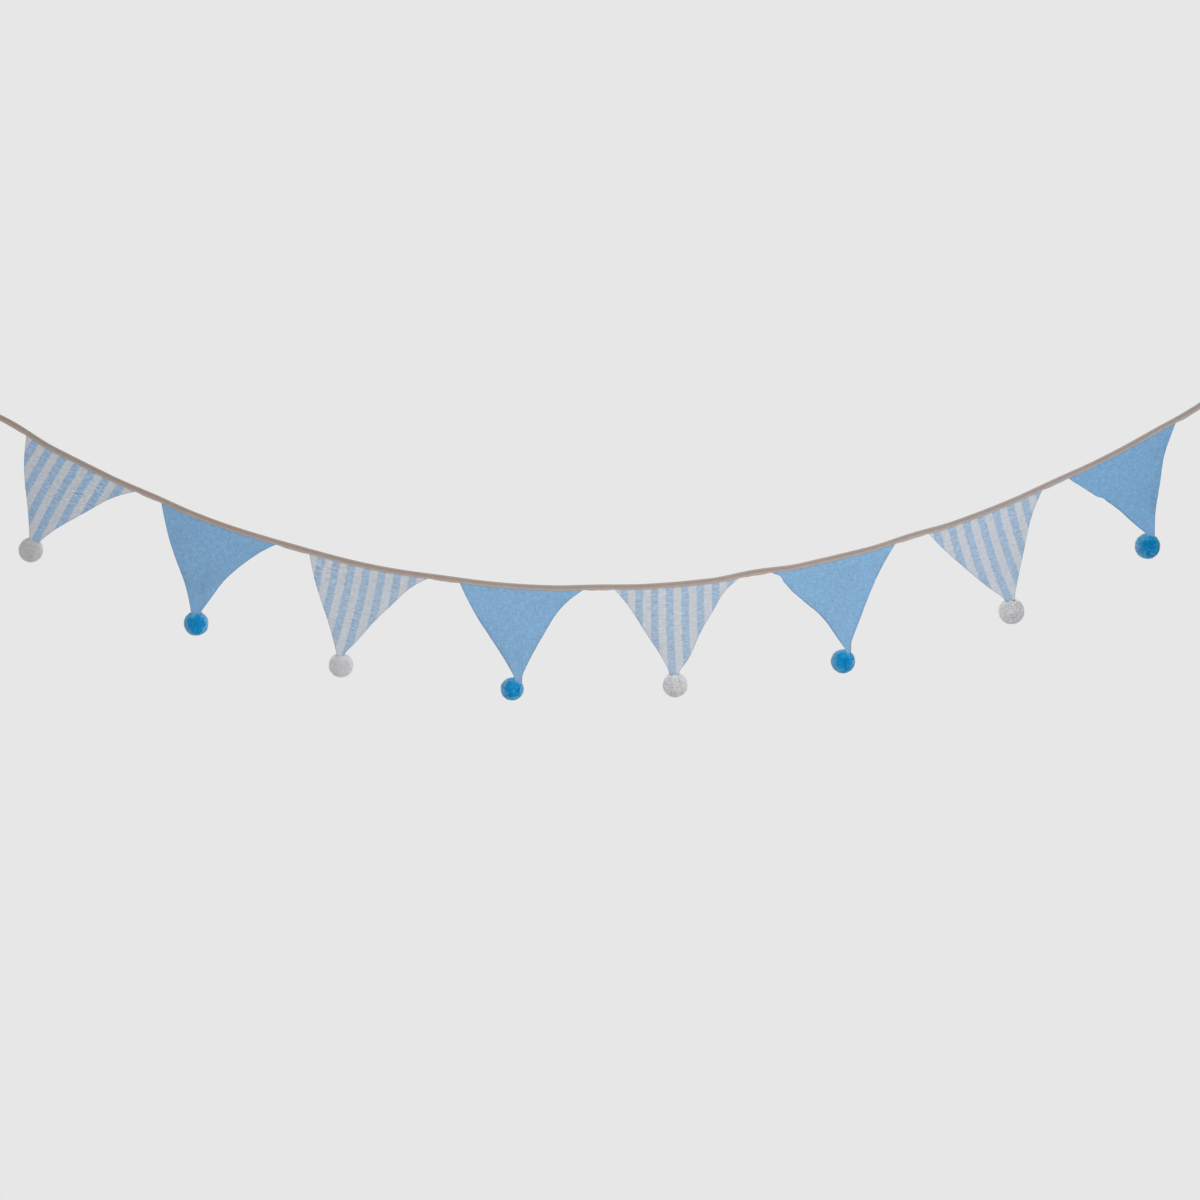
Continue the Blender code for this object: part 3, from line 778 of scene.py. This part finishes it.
def cloth_depth(row, across, down, place, left_bow, right_bow):
    """How far the sheet stands back: (curl + pleats - belly - creases - crinkle) x a fade to 0 at the tape
    and at the tip. The curl is a drawn-in side's bow, falling off with the cube of the distance from that
    side."""
    fade = smooth(down / TOP_EASE) * smooth((TIP_FLAT - down) / TIP_EASE)
    belly = row.belly * MM * np.sin(np.pi * across) * np.sin(np.pi * down) * (1 - down) ** 0.6
    curl = np.maximum(-left_bow, 0) * (1 - across) ** 3 + np.maximum(right_bow, 0) * across ** 3
    pleat = PLEAT * np.cos(4 * np.pi * across) * smooth((down - PLEAT_FROM) / PLEAT_EASE)
    fine = smooth(down / 0.10) * smooth((0.97 - down) / 0.10) * smooth((TIP_FLAT + 0.02 - down) / 0.1)
    small = crease_depth(row, place) + crinkle(place, int(row.name))
    return (CURL_SHARE * curl - belly + pleat) * fade - small * fine


tips = {row.name: corners_and_tip(row)[2] for row in PENNANTS}
print("tips at x, z:", {name: np.round(tip, 3).tolist() for name, tip in tips.items()})

# %% [markdown]
# ## Which way the cloth lies in a pennant
#
# A stripe shows the direction of the warp. It runs square to the tape, and near the sides, where the cloth
# is on the bias and stretches, it bends. So the UV map is worked out from the place on the pennant: the
# distance from the tip, turned by the warp's angle, with a bend that grows along the stripe and a fan that
# grows away from its middle. The plain pennants' threads and slubs follow the same map.

# %% Cloth coordinates
# pennant: turn in degrees, place of a blue stripe's middle in mm, bend and fan in thousandths to the mm
GRAIN = {
    "1": (-25.7, 2.70, -0.38, -0.18), "2": (-18.0, 0, -0.2, 0), "3": (-18.7, 9.27, 0.59, -0.09),
    "4": (-3.0, 0, 0.2, 0), "5": (4.3, 24.10, -0.32, 0.15), "6": (12.5, 0, -0.2, 0),
    "7": (24.4, 0.28, -0.72, -0.07), "8": (27.0, 0, 0.1, 0),
}


def cloth_uv(row, place):
    """With U and V the distances from the tip across and along the turned warp, in mm: the first coordinate
    is U + bend V^2 / 1000 + fan U V / 1000 - first, the second is V. Both are then given in metres."""
    turn, first, bend, fan = GRAIN[row.name]
    off = (place - tips[row.name]) / MM
    cos, sin = math.cos(math.radians(turn)), math.sin(math.radians(turn))
    u = off[..., 0] * cos + off[..., 1] * sin
    v = -off[..., 0] * sin + off[..., 1] * cos
    return np.stack([u + bend * v * v / 1000 + fan * u * v / 1000 - first, v], -1) * MM


print("stripes turn with the tape:", {name: grain[0] for name, grain in GRAIN.items()})

# %% [markdown]
# ## The pennants
#
# Each pennant is one closed sheet, 0.9 mm thick, whose front and back meet in a rounded edge. Each side has
# a narrow turned hem, which is part of the cloth: it thickens the edge a little, and a slightly darker line
# of painted shade runs along it. The grid's columns crowd together at the sides, at set distances in
# millimetres, so the round edge and the hem stay equally wide from the tape to the tip.

# %% The pennants
SHEET_HALF = 0.45 * MM
EDGE_ROUND = 0.6 * MM              # an edge's rounding, inwards from the side
HEM_RISE = 0.12 * MM               # the turned hem's extra half thickness
HEM_FROM, HEM_GROWS = 0.4 * MM, 0.8 * MM     # it begins this far in, and rises over this length
HEM_TO, HEM_FADES = 3.2 * MM, 1.2 * MM       # and ends there, after falling over this one
PRESSED_LEFT, PRESSED_RIGHT = (0.9 * MM, 1.4 * MM), (0.8 * MM, 1.3 * MM)   # the hem's painted shade line: place, reach
EDGE_STEPS = np.array([0, 0.2, 0.45, 0.8, 1.25, 1.8, 2.6, 3.6]) * MM
MIDDLE_COLUMNS = 62
TUCK_STEPS = np.array([0, 0.25, 0.6, 1.2, 3.75]) * MM   # rows inside the tape, from the top edge
CLOTH_ROWS, EVEN_TO = 81, 0.985    # even rows below it, to this share of the drop
TIP_ROWS = [0.991, 0.9965, 1.0]    # and then three close ones

# pennant: how dark the hem's painted shade line is on the left and right side, and from where to
# where down the left
HEM_SHADES = {
    "1": (0.25, 0.42, 0.0, 1.0), "2": (0.30, 0.35, 0.2, 1.0), "3": (0.30, 0.38, 0.0, 1.0),
    "4": (1.00, 0.50, 0.20, 0.95), "5": (0.42, 0.33, 0.1, 0.9), "6": (1.0, 0.45, 0.06, 0.95),
    "7": (0.48, 0.33, 0.15, 0.9), "8": (0.85, 0.50, 0.30, 0.92),
}
HEM_SHADE_LEAST = 0.25

# pennant: how much darker and bluer its cloth is than the palest one, partly more dye and partly
# painted shade, and how much deeper its blue threads are
DYE_AND_SHADE = {"1": 0.05, "2": 0.32, "3": 0.0, "4": 0.05, "5": 0.05, "6": 0.0, "7": 0.15, "8": 0.85}
DEEP_BLUE = {"1": 1.0, "7": 0.15}

# pennant: middle as (across, down), reach in mm, and how much more painted shade is there: pucker shade on
# the striped cloth, a darker patch on the plain
EVEN_PUCKER_SHADE = {"striped": 0.85, "plain": 0.0}
PUCKER_SHADES = {
    "1": [(0.74, 0.22, 34, 1.0), (0.50, 0.30, 30, 0.4)], "3": [(0.10, 0.14, 34, 0.8), (0.62, 0.55, 26, 0.4)],
    "5": [(0.30, 0.30, 34, 0.3)], "7": [(0.80, 0.30, 30, 0.3)], "8": [(0.80, 0.62, 24, 0.5)],
    "2": [(0.62, 0.66, 20, 0.8), (0.70, 0.50, 18, 0.4), (0.20, 0.18, 24, 0.5)],
    "4": [(0.62, 0.70, 18, 0.3)], "6": [(0.60, 0.30, 26, 0.2)],
}


def painted_pucker_shade(row, place):
    """The painted shade's strength: an even share, and a bell exp(-(distance / reach)^2) round each listed
    place, where the weft pulls harder on the striped cloth and a darker patch lies on the plain.
    """
    total = np.full(place.shape[:-1], EVEN_PUCKER_SHADE[row.cloth])
    for across, down, reach, more in PUCKER_SHADES[row.name]:
        middle = cloth_place(row, np.array([across]), np.array([down]))[0][0]
        total += more * np.exp(-(np.linalg.norm(place - middle, axis=-1) / (reach * MM)) ** 2)
    return total


def edge_grid(width):
    """Shares from 0 to 1 across each level: the edge steps at both sides, even steps between them."""
    steps = EDGE_STEPS / width[:, None]
    inner = np.linspace(0, 1, MIDDLE_COLUMNS + 2)[1:-1]
    room = 1 - 2 * steps[:, -1:]
    return np.concatenate([steps, steps[:, -1:] + room * inner, 1 - steps[:, ::-1]], 1)


def half_thickness(from_edge):
    """A quarter circle at the edge, then level, with the hem's rise where it is turned."""
    near = np.clip(from_edge / EDGE_ROUND, 0, 1)
    hem = smooth((from_edge - HEM_FROM) / HEM_GROWS) * smooth((HEM_TO - from_edge) / HEM_FADES)
    return SHEET_HALF * np.sqrt(1 - (1 - near) ** 2) + HEM_RISE * hem


def painted_hem_shade(row, down, from_left, from_right):
    """The strength of the painted shade along the pressed hem: a bell just inside each edge. On the left it
    fades in and out down the side, to a quarter at least."""
    left, right, begin, end = HEM_SHADES[row.name]
    left = np.maximum(left * smooth((down - begin) / 0.15) * smooth((end - down) / 0.12), HEM_SHADE_LEAST)
    lines = (left, from_left, PRESSED_LEFT), (right, from_right, PRESSED_RIGHT)
    return np.maximum(*[dark * np.exp(-((inwards - place) / reach) ** 2)
                        for dark, inwards, (place, reach) in lines])


def cut_area(row):
    """The area of the piece before it hangs, from its outline: half of the sum of x dz - z dx round it, and
    the strip inside the tape."""
    left, right = both_sides(row, np.linspace(0, 1, 200))
    x, z = np.concatenate([left, right[::-1]]).T
    area = abs((x * np.roll(z, -1) - np.roll(x, -1) * z).sum()) / 2
    return area + row.width * MM * (TAPE_DEPTH - FLAG_TOP)


def build_pennant(row, material):
    """Levels: a few inside the tape at y = 0, then the hanging cloth. The front is the middle sheet - half
    the thickness in y, the back is + half, and along the outline both share their points."""
    tucked = len(TUCK_STEPS)
    down = np.concatenate([np.zeros(tucked), np.linspace(0, EVEN_TO, CLOTH_ROWS), TIP_ROWS])
    width = np.linalg.norm(np.subtract(*both_sides(row, down)), axis=1)
    across = edge_grid(width)
    level = np.broadcast_to(down[:, None], across.shape)
    place, left_bow, right_bow = cloth_place(row, across, level)
    inside = (FLAG_TOP + TUCK_STEPS)[:, None]
    place[:tucked] = below_fold((row.start + row.width * across[:tucked]) * MM, inside)
    y = cloth_depth(row, across, level, place, left_bow, right_bow)

    from_left, from_right = across * width[:, None], (1 - across) * width[:, None]
    from_end = (1 - down) * row.drop * MM
    from_end[:tucked] = TUCK_STEPS
    thin = np.minimum(half_thickness(from_end) / SHEET_HALF, 1)[:, None]
    half = half_thickness(np.minimum(from_left, from_right)) * thin
    half[:, [0, -1]] = 0

    rows, columns = across.shape
    inner = np.zeros((rows, columns), bool)
    inner[1:-1, 1:-1] = True
    back = np.arange(rows * columns)
    back[inner.ravel()] = rows * columns + np.arange(inner.sum())
    cells = grid_faces(rows, columns)

    def both(front, behind):
        """Values at the front's points, then at the back's own points."""
        return np.concatenate([front.reshape(rows * columns, -1), behind[inner].reshape(inner.sum(), -1)])

    points = both(in_space(place, y - half), in_space(place, y + half))
    uv = cloth_uv(row, place)
    # numbers for the material: painted shade along the hem, painted pucker shade, extra dye with painted
    # shade, and deeper blue
    values = {"hem_shade": painted_hem_shade(row, level, from_left, from_right), "pucker_and_shade": painted_pucker_shade(row, place),
              "dye_and_shade": np.full(level.shape, DYE_AND_SHADE[row.name]),
              "deep": np.full(level.shape, DEEP_BLUE.get(row.name, 0.0))}
    shades = {key: both(shade, shade).ravel() for key, shade in values.items()}
    faces = outwards(points, np.concatenate([cells, back[cells][:, ::-1]]))
    piece = make_piece("pennant_" + row.name, material, points, faces, values=shades, uv=both(uv, uv))
    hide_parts("flag_" + row.name)
    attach(piece, "root")
    cut_area(row)


for row in PENNANTS:
    build_pennant(row, striped_cotton if row.cloth == "striped" else plain_linen)

# %% [markdown]
# ## Pompom yarn
#
# A pompom's yarn is painted a little darker and richer down between the strands, as painted shade, and
# paler at their cut ends, where the fibres fray, with a painted highlight. The strands round a ball's edge
# are painted chalkiest, as a painted sheen at the rim, so a blue ball is full in colour in front and paler
# at its rim. Each strand holds four numbers for its material: how far along it a point is, its own shade,
# how much painted rim sheen and wear it has, and whether it is a loose frayed fibre. A fifth is the ball's
# own tone and painted light.

# %% Pompom yarn
Yarn = namedtuple("Yarn", "name deep worn end other frayed spread")
YARNS = {
    "striped": Yarn("grey_white_yarn", (0.70, 0.695, 0.715, 1), (0.71, 0.705, 0.725, 1),
                    (0.73, 0.725, 0.745, 1), (0.71, 0.705, 0.72, 1), (0.71, 0.705, 0.725, 1), 0.24),
    "plain": Yarn("blue_yarn", (0.002, 0.28, 0.64, 1), (0.245, 0.465, 0.625, 1),
                  (0.002, 0.35, 0.76, 1), (0.004, 0.42, 0.70, 1), (0.19, 0.48, 0.68, 1), 0.40),
}
# each ball's own tone, with painted light and shade, as a factor on its colour
BALL_TONE_AND_LIGHT = {"1": 0.96, "2": 1.06, "3": 1.04, "4": 1.01, "5": 1.03, "6": 0.99, "7": 0.98, "8": 0.90}


def make_yarn(yarn):
    """Deep colour at the root, darker there as painted shade, and the end colour on the cut end, with a
    second hue in broad patches. Strands with painted rim sheen and wear are chalkier towards their ends, and
    loose fibres frayed. Each strand has its own shade, and each ball a factor for its tone and painted
    light."""
    maker = Maker(yarn.name, roughness=0.92, specular=0.08)
    along = maker.attribute("along")
    x, y, z = maker.object_place()
    patch = maker.noise(x, y, z, scale=150.0)
    broad = maker.noise(z, x, y, scale=110.0, detail=1.0)
    fibre = maker.noise(x, y, z, scale=2600.0)
    end = maker.mix(maker.ramp(broad, 0.42, 0.62), yarn.end, yarn.other)
    colour = maker.mix(maker.math("POWER", along, 1.6), yarn.deep, end)
    colour = maker.mix(maker.attribute("worn") * maker.ramp(along, 0.30, 0.85), colour, yarn.worn)
    frayed = maker.ramp(patch, 0.52, 0.74) * maker.ramp(along, 0.55, 1.0, 0.0, 0.12)
    colour = maker.mix(maker.math("MAXIMUM", frayed, maker.attribute("frayed")), colour, yarn.frayed)
    tone = maker.attribute("shade") * yarn.spread + (0.92 - yarn.spread / 2) + fibre * 0.16
    colour = maker.tint(colour, tone * maker.attribute("light"))
    return maker.finish(colour, fibre, 0.10 * MM, strength=0.7)


yarns = {cloth: make_yarn(yarn) for cloth, yarn in YARNS.items()}

# %% [markdown]
# ## The pompoms
#
# A pompom is made by winding yarn round a ring, tying it in the middle and cutting the loops, so that
# thousands of cut ends stand out and are trimmed to a ball. Here an uneven core fills the middle, where
# little light reaches, and more than five thousand strands stand on it. Their directions are spread evenly
# by the golden angle and then jittered. Neighbouring strands lean together into tufts, each a little longer
# or shorter than the next, and loose fibres stand out beyond the rest.
#
# The pompom is sewn on behind the pennant's tip, with the tip in its yarn, and its core stays behind the
# cloth there. Strands that would pass through the cloth are left out, those that end in front of it start
# below the tip and close over it, and those just behind it are drawn up to it by the sewing.

# %% Directions and the place of the tip
GOLDEN_TURN = math.pi * (3 - math.sqrt(5))


def even_directions(count, jitter, rng):
    """Points i of a ball's spiral: height 1 - (2 i + 1) / n, turned by the golden angle each time, then
    moved by a normal jitter given as a share of their spacing."""
    i = np.arange(count)
    height = 1 - (2 * i + 1) / count
    ring = np.sqrt(1 - height ** 2)
    points = np.stack([ring * np.cos(i * GOLDEN_TURN), ring * np.sin(i * GOLDEN_TURN), height], -1)
    spacing = math.sqrt(4 * math.pi / count)
    return unit(points + rng.normal(0, jitter * spacing, points.shape))


def beside(directions, rng):
    """Two directions square to each one and to each other, turned by a random angle."""
    helper = np.where(np.abs(directions[:, 2:]) < 0.8, [[0, 0, 1.0]], [[1.0, 0, 0]])
    first = unit(np.cross(directions, helper))
    second = np.cross(directions, first)
    turn = rng.uniform(0, 2 * np.pi, (len(directions), 1))
    return first * np.cos(turn) + second * np.sin(turn), second * np.cos(turn) - first * np.sin(turn)


def off_cloth(row, x, z):
    """How far a place seen from the front is outside the pennant's tip: 0 over the cloth."""
    left_x, right_x = [np.interp(z, side[:, 1], side[:, 0])
                       for side in both_sides(row, np.linspace(1, 0.55, 120))]
    end = tips[row.name][1] - TIP_ROUND
    return np.maximum(np.maximum(np.maximum(left_x - x, x - right_x), end - z), 0)


print("off the cloth 5 mm below tip 1:", off_cloth(PENNANTS[0], tips["1"][0], tips["1"][1] - 5 * MM))

# %% The strands of one pompom
# count, length as a share of the radius, its unevenness, half width at the root and at the end, length of
# the end's point, sideways bend, and whether it is frayed
Hair = namedtuple("Hair", "count reach uneven root_half end_half point bend frayed")
HAIRS = [
    Hair(5500, 1.0, 0.012, 0.32 * MM, 0.52 * MM, 0.22 * MM, 0.035, 0.0),
    Hair(1700, 1.04, 0.026, 0.08 * MM, 0.08 * MM, 1.6 * MM, 0.13, 1.0),
]
ALONG = [0, 0, 0, 0.9, 0.9, 0.9, 1.0]          # how far along a strand its seven points are
BALL_SIZE = {"striped": 1.0, "plain": 0.955}   # the blue balls are trimmed closer
TUFTS, TUFT_LEAN = 150, 0.16
CORE_SHARE, ROOT_SHARE = 0.89, 0.80            # of the ball's radius
CLOTH_CLEAR = 1.35 * MM            # from the cloth's middle to a strand's middle
CORE_CLEAR = 1.05 * MM             # and to the core
OVER_CLOTH = 0.55 * MM             # a strand's middle this close beside the cloth still touches it
SHEEN_AND_WEAR_MOST = 0.85                   # how chalky the strands with the most painted rim sheen and wear are
CORE_SLOPE = 4.0                   # how steeply the core comes forward again beside the tip
ROOTS_BELOW = (1.5, 6.0)           # mm below the tip, roots of the strands that close over it
DRAWN_TO = 14 * MM                 # strands farther back than this aren't drawn up to the cloth
DRAWN_REACH = 9 * MM               # nor much those farther than this from the tip
DRAWN_MOST = 0.7                   # the share of its way to the cloth that a strand at the tip is drawn
GATHER_X, GATHER_Y = 0.6, 0.3      # how wide and deep the roots below the tip lie, as shares of their ends
PATH_STEPS = 31                    # places on a strand where the cloth is looked for
STRAND_SIZES = (0.8, 1.25)         # thinnest and thickest strand, as shares
CORE_UNEVEN = 0.01                 # height of the core's waves, as a share of its radius
CORE_ROWS, CORE_COLUMNS = 26, 40


def strand_lines(row, centre, hair, rng):
    """Each strand's root and end: centre + radius x direction, the end's direction leaning to its tuft. Also
    its direction, and its shade: 0.55 of its tuft's random number + 0.45 of its own."""
    directions = even_directions(hair.count, 0.30, rng)
    tufts = even_directions(TUFTS, 0.45, rng)
    tuft = (directions @ tufts.T).argmax(1)
    lean = (tufts[tuft] - directions) * TUFT_LEAN + rng.normal(0, hair.bend, directions.shape)
    uneven = rng.normal(0, hair.uneven, TUFTS)[tuft] + rng.normal(0, hair.uneven / 2, hair.count)
    radius = BALL_SIZE[row.cloth] * row.radius * MM
    ends = centre + unit(directions + lean) * (radius * (hair.reach + uneven))[:, None]
    shade = 0.55 * rng.random(TUFTS)[tuft] + 0.45 * rng.random(hair.count)
    return centre + directions * radius * ROOT_SHARE, ends, directions, shade


def worn(directions, shade):
    """How much painted rim sheen and wear a strand has: the strands round the edge of the ball, away from
    the middle of its front and back, get the most painted sheen, and more so on the left. With r the
    distance from the y axis, uneven by the strand's shade, it is the largest of smooth((r - 0.78) / 0.2),
    0.75 smooth((r - 0.3 x - 0.62) / 0.38), and a little wear on the palest strands everywhere: 0.17
    smooth((shade - 0.45) / 0.35)."""
    off_axis = np.hypot(directions[:, 0], directions[:, 2]) + 0.45 * (shade - 0.5)
    ring = smooth((off_axis - 0.78) / 0.20)
    left = 0.75 * smooth((off_axis - 0.30 * directions[:, 0] - 0.62) / 0.38)
    return SHEEN_AND_WEAR_MOST * np.maximum(np.maximum(ring, left), 0.17 * smooth((shade - 0.45) / 0.35))


def close_over_tip(row, centre, roots, ends, rng):
    """Moves the roots and ends near the tip, and says which strands are kept. A strand in front of the cloth
    is rooted below the tip. An end just behind the cloth is drawn up to it, less and less towards the
    back."""
    steps = np.linspace(0, 1, PATH_STEPS)[:, None]
    line = centre * (1 - steps) + ends[:, None] * steps
    over = off_cloth(row, line[..., 0], line[..., 2]) < OVER_CLOTH
    through = (over & (np.abs(line[..., 1]) < CLOTH_CLEAR)).any(1)
    before = ends[:, 1] < -CLOTH_CLEAR
    tip = tips[row.name]
    middle = tip[0] + (row.necks[0][0] + row.necks[1][0]) / 2 * MM
    below = np.stack([middle + GATHER_X * (ends[:, 0] - middle),
                      -CLOTH_CLEAR + GATHER_Y * (ends[:, 1] + CLOTH_CLEAR),
                      tip[1] - TIP_ROUND - rng.uniform(*ROOTS_BELOW, len(ends)) * MM], -1)
    roots = np.where((through & before)[:, None], below, roots)
    from_tip = np.linalg.norm(ends[:, [0, 2]] - tip, axis=1)
    behind = over[:, -1] & (ends[:, 1] > CLOTH_CLEAR)
    drawn = DRAWN_MOST * smooth(1.4 - from_tip / DRAWN_REACH) * smooth((DRAWN_TO - ends[:, 1]) / DRAWN_TO)
    ends[:, 1] -= drawn * behind * (ends[:, 1] - CLOTH_CLEAR)
    return roots, ends, ~through | before


def strand_points(row, centre, rng, hair):
    """Seven points for each strand: three round its root, three round the place where its point starts, and
    its end. Also each strand's shade, whether it is frayed, and how much painted rim sheen and wear it has."""
    roots, ends, directions, shade = strand_lines(row, centre, hair, rng)
    roots, ends, kept = close_over_tip(row, centre, roots, ends, rng)
    along = unit(ends - roots)
    first, second = beside(along, rng)
    size = rng.uniform(*STRAND_SIZES, (hair.count, 1, 1))
    angle = (np.arange(3) * 2 * np.pi / 3)[:, None]
    ring = (first[:, None] * np.cos(angle) + second[:, None] * np.sin(angle)) * size
    low = roots[:, None] + ring * hair.root_half
    high = (ends - along * hair.point)[:, None] + ring * hair.end_half
    points = np.concatenate([low, high, ends[:, None]], 1)
    return points[kept], shade[kept], np.full(kept.sum(), hair.frayed), worn(directions, shade)[kept]


def core_points(row, centre):
    """An uneven ball on a grid of heights and turns, closed at both poles. A ray that would come out in
    front of the cloth's tip ends behind it: the radius is at most the ray's length to the plane just behind
    the cloth, plus a slope times how far that place is outside the tip."""
    up = np.pi * np.arange(1, CORE_ROWS) / CORE_ROWS
    turn = 2 * np.pi * np.arange(CORE_COLUMNS) / CORE_COLUMNS
    up, turn = np.meshgrid(up, turn, indexing="ij")
    ball = np.stack([np.sin(up) * np.cos(turn), np.sin(up) * np.sin(turn), np.cos(up)], -1).reshape(-1, 3)
    ball = np.concatenate([[[0, 0, 1.0]], ball, [[0, 0, -1.0]]])
    waves = np.cos(7 * ball[:, 0] + row.start) + np.cos(6 * ball[:, 1] + 5 * ball[:, 2])
    reach = (1 + CORE_UNEVEN * waves) * (BALL_SIZE[row.cloth] * CORE_SHARE * row.radius * MM)
    to_cloth = np.minimum((CORE_CLEAR - centre[1]) / np.minimum(ball[:, 1], -1e-3), 1.0)
    crossing = centre + ball * to_cloth[:, None]
    outside = off_cloth(row, crossing[:, 0], crossing[:, 2])
    room = to_cloth + CORE_SLOPE * np.maximum(outside - 0.8 * MM, 0)
    reach = np.where(ball[:, 1] < 0, np.minimum(reach, room), reach)
    return centre + ball * reach[:, None]


def build_pompom(row, material):
    """The core, the strands and the loose fibres as one mesh. The core is at 0 along a strand. A strand has
    its root's cap, three walls and the three sides of its point."""
    rng = np.random.default_rng(100 + int(row.name))
    tip = tips[row.name]
    centre = np.array([tip[0] + row.ball[0] * MM, POMPOM_BACK, tip[1] + row.ball[1] * MM])
    core = core_points(row, centre)
    core_groups = outwards(core, *spindle_faces(CORE_ROWS - 1, CORE_COLUMNS))
    parts = [strand_points(row, centre, rng, hair) for hair in HAIRS]
    strands, *numbers = [np.concatenate(kind) for kind in zip(*parts)]
    point = fan_faces(6, np.arange(3, 6))[:, [1, 2, 0]]
    strand_faces = [grid_faces(2, 3, ring=True), np.concatenate([[[2, 1, 0]], point])]
    hair = strands.reshape(-1, 3)
    hair_groups = outwards(hair, *[repeat_faces(part, len(strands), len(ALONG)) for part in strand_faces])
    groups = [np.concatenate([a, b + len(core)]) for a, b in zip(core_groups, hair_groups)]
    values = {"along": np.concatenate([np.zeros(len(core)), np.tile(ALONG, len(strands))])}
    for name, of_core, of_strands in zip(("shade", "frayed", "worn"), (0.4, 0, 0), numbers):
        values[name] = np.concatenate([np.full(len(core), of_core), np.repeat(of_strands, len(ALONG))])
    # each ball's own tone and painted light, as a factor on its colour
    values["light"] = np.full(len(core) + len(hair), BALL_TONE_AND_LIGHT[row.name])
    points = np.concatenate([core, hair])
    piece = make_piece("yarn_ball_" + row.name, material, points, groups, values=values)
    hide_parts("pompom_" + row.name)
    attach(piece, "root")
    return len(strands)


for row in PENNANTS:
    print("strands kept on pompom", row.name, build_pompom(row, yarns[row.cloth]))

# %% [markdown]
# ## Floor, ground and light
#
# The photograph's ground is one even pale grey, so the surroundings glow in that grey and light the cloth
# from all round. The bunting hangs two metres above a plain pale floor, which turns into the ground's own
# grey towards its rim, so no horizon shows from any side.
#
# The cloth is evenly lit from the front, with hardly a shadow, and the middle pennants are a little lighter
# than the outer ones. One weak soft lamp near the middle does most of that, because its light falls off
# towards the sides, and painted shade in some pennants' dye share adds to it. A larger lamp behind gives the
# back its form.

# %% Surroundings
GROUND = 0.7991                    # the photograph's ground, as linear light
FLOOR_Z = -2.0
FLOOR_RADIUS = 2.6
FLOOR_RINGS, FLOOR_TURNS = 12, 96

scene.view_settings.view_transform = "Standard"
world = bpy.data.worlds.new("studio")
world.use_nodes = True
world.node_tree.nodes["Background"].inputs["Color"].default_value = (GROUND, GROUND, GROUND, 1)
scene.world = world


def make_floor_finish():
    """Matt pale paint in the middle, and the ground's own glow from four fifths of the radius outwards."""
    maker = Maker("floor_paint", roughness=0.95)
    x, y, _ = maker.object_place()
    x_off = x - AIM_X
    off = maker.math("SQRT", x_off * x_off + y * y)
    grain = maker.noise(x, y, scale=60.0, detail=4.0)
    glow = maker.node("Emission", {"Color": (GROUND, GROUND, GROUND, 1)})
    share = maker.ramp(off, 0.25 * FLOOR_RADIUS, 0.8 * FLOOR_RADIUS)
    both = maker.node("MixShader", {0: share, 1: Value(maker, maker.shader.outputs[0]), 2: glow})
    maker.tree.links.new(both.socket, maker.tree.nodes["Material Output"].inputs["Surface"])
    return maker.finish(maker.tint((1, 1, 1), grain * 0.02 + 0.77), grain, 0.05 * MM)


def build_floor():
    """A round disc on rings and turns: x = middle + r cos, y = r sin. Its centre is one point."""
    reach = FLOOR_RADIUS * np.arange(1, FLOOR_RINGS + 1)[:, None] / FLOOR_RINGS
    angle = 2 * np.pi * np.arange(FLOOR_TURNS) / FLOOR_TURNS
    x, y = AIM_X + reach * np.cos(angle), reach * np.sin(angle)
    points = np.stack([x, y, np.full_like(x, FLOOR_Z)], -1).reshape(-1, 3)
    walls = grid_faces(FLOOR_RINGS, FLOOR_TURNS, ring=True)[:, ::-1] + 1
    groups = [fan_faces(0, np.arange(FLOOR_TURNS) + 1), walls]
    return make_piece("floor", make_floor_finish(), np.concatenate([[[AIM_X, 0, FLOOR_Z]], points]), groups)


floor = build_floor()

# %% Lamps
# name, place, size in m, watts
LAMPS = [("front_soft", (1.26, -1.15, 0.12), 0.9, 8.5), ("back_fill", (0.90, 2.60, 0.70), 2.0, 22)]
aim = camera.location.copy()
aim.xyz = (1.15, 0.0, -0.25)       # the middle of the bunting

for name, place, size, watts in LAMPS:
    data = bpy.data.lights.new(name, "AREA")
    data.size, data.energy = size, watts
    lamp = bpy.data.objects.new(name, data)
    lamp.location = place
    lamp.rotation_euler = (aim - lamp.location).to_track_quat("-Z", "Y").to_euler()
    lamp.visible_camera = False
    scene.collection.objects.link(lamp)
    print("lamp:", name)
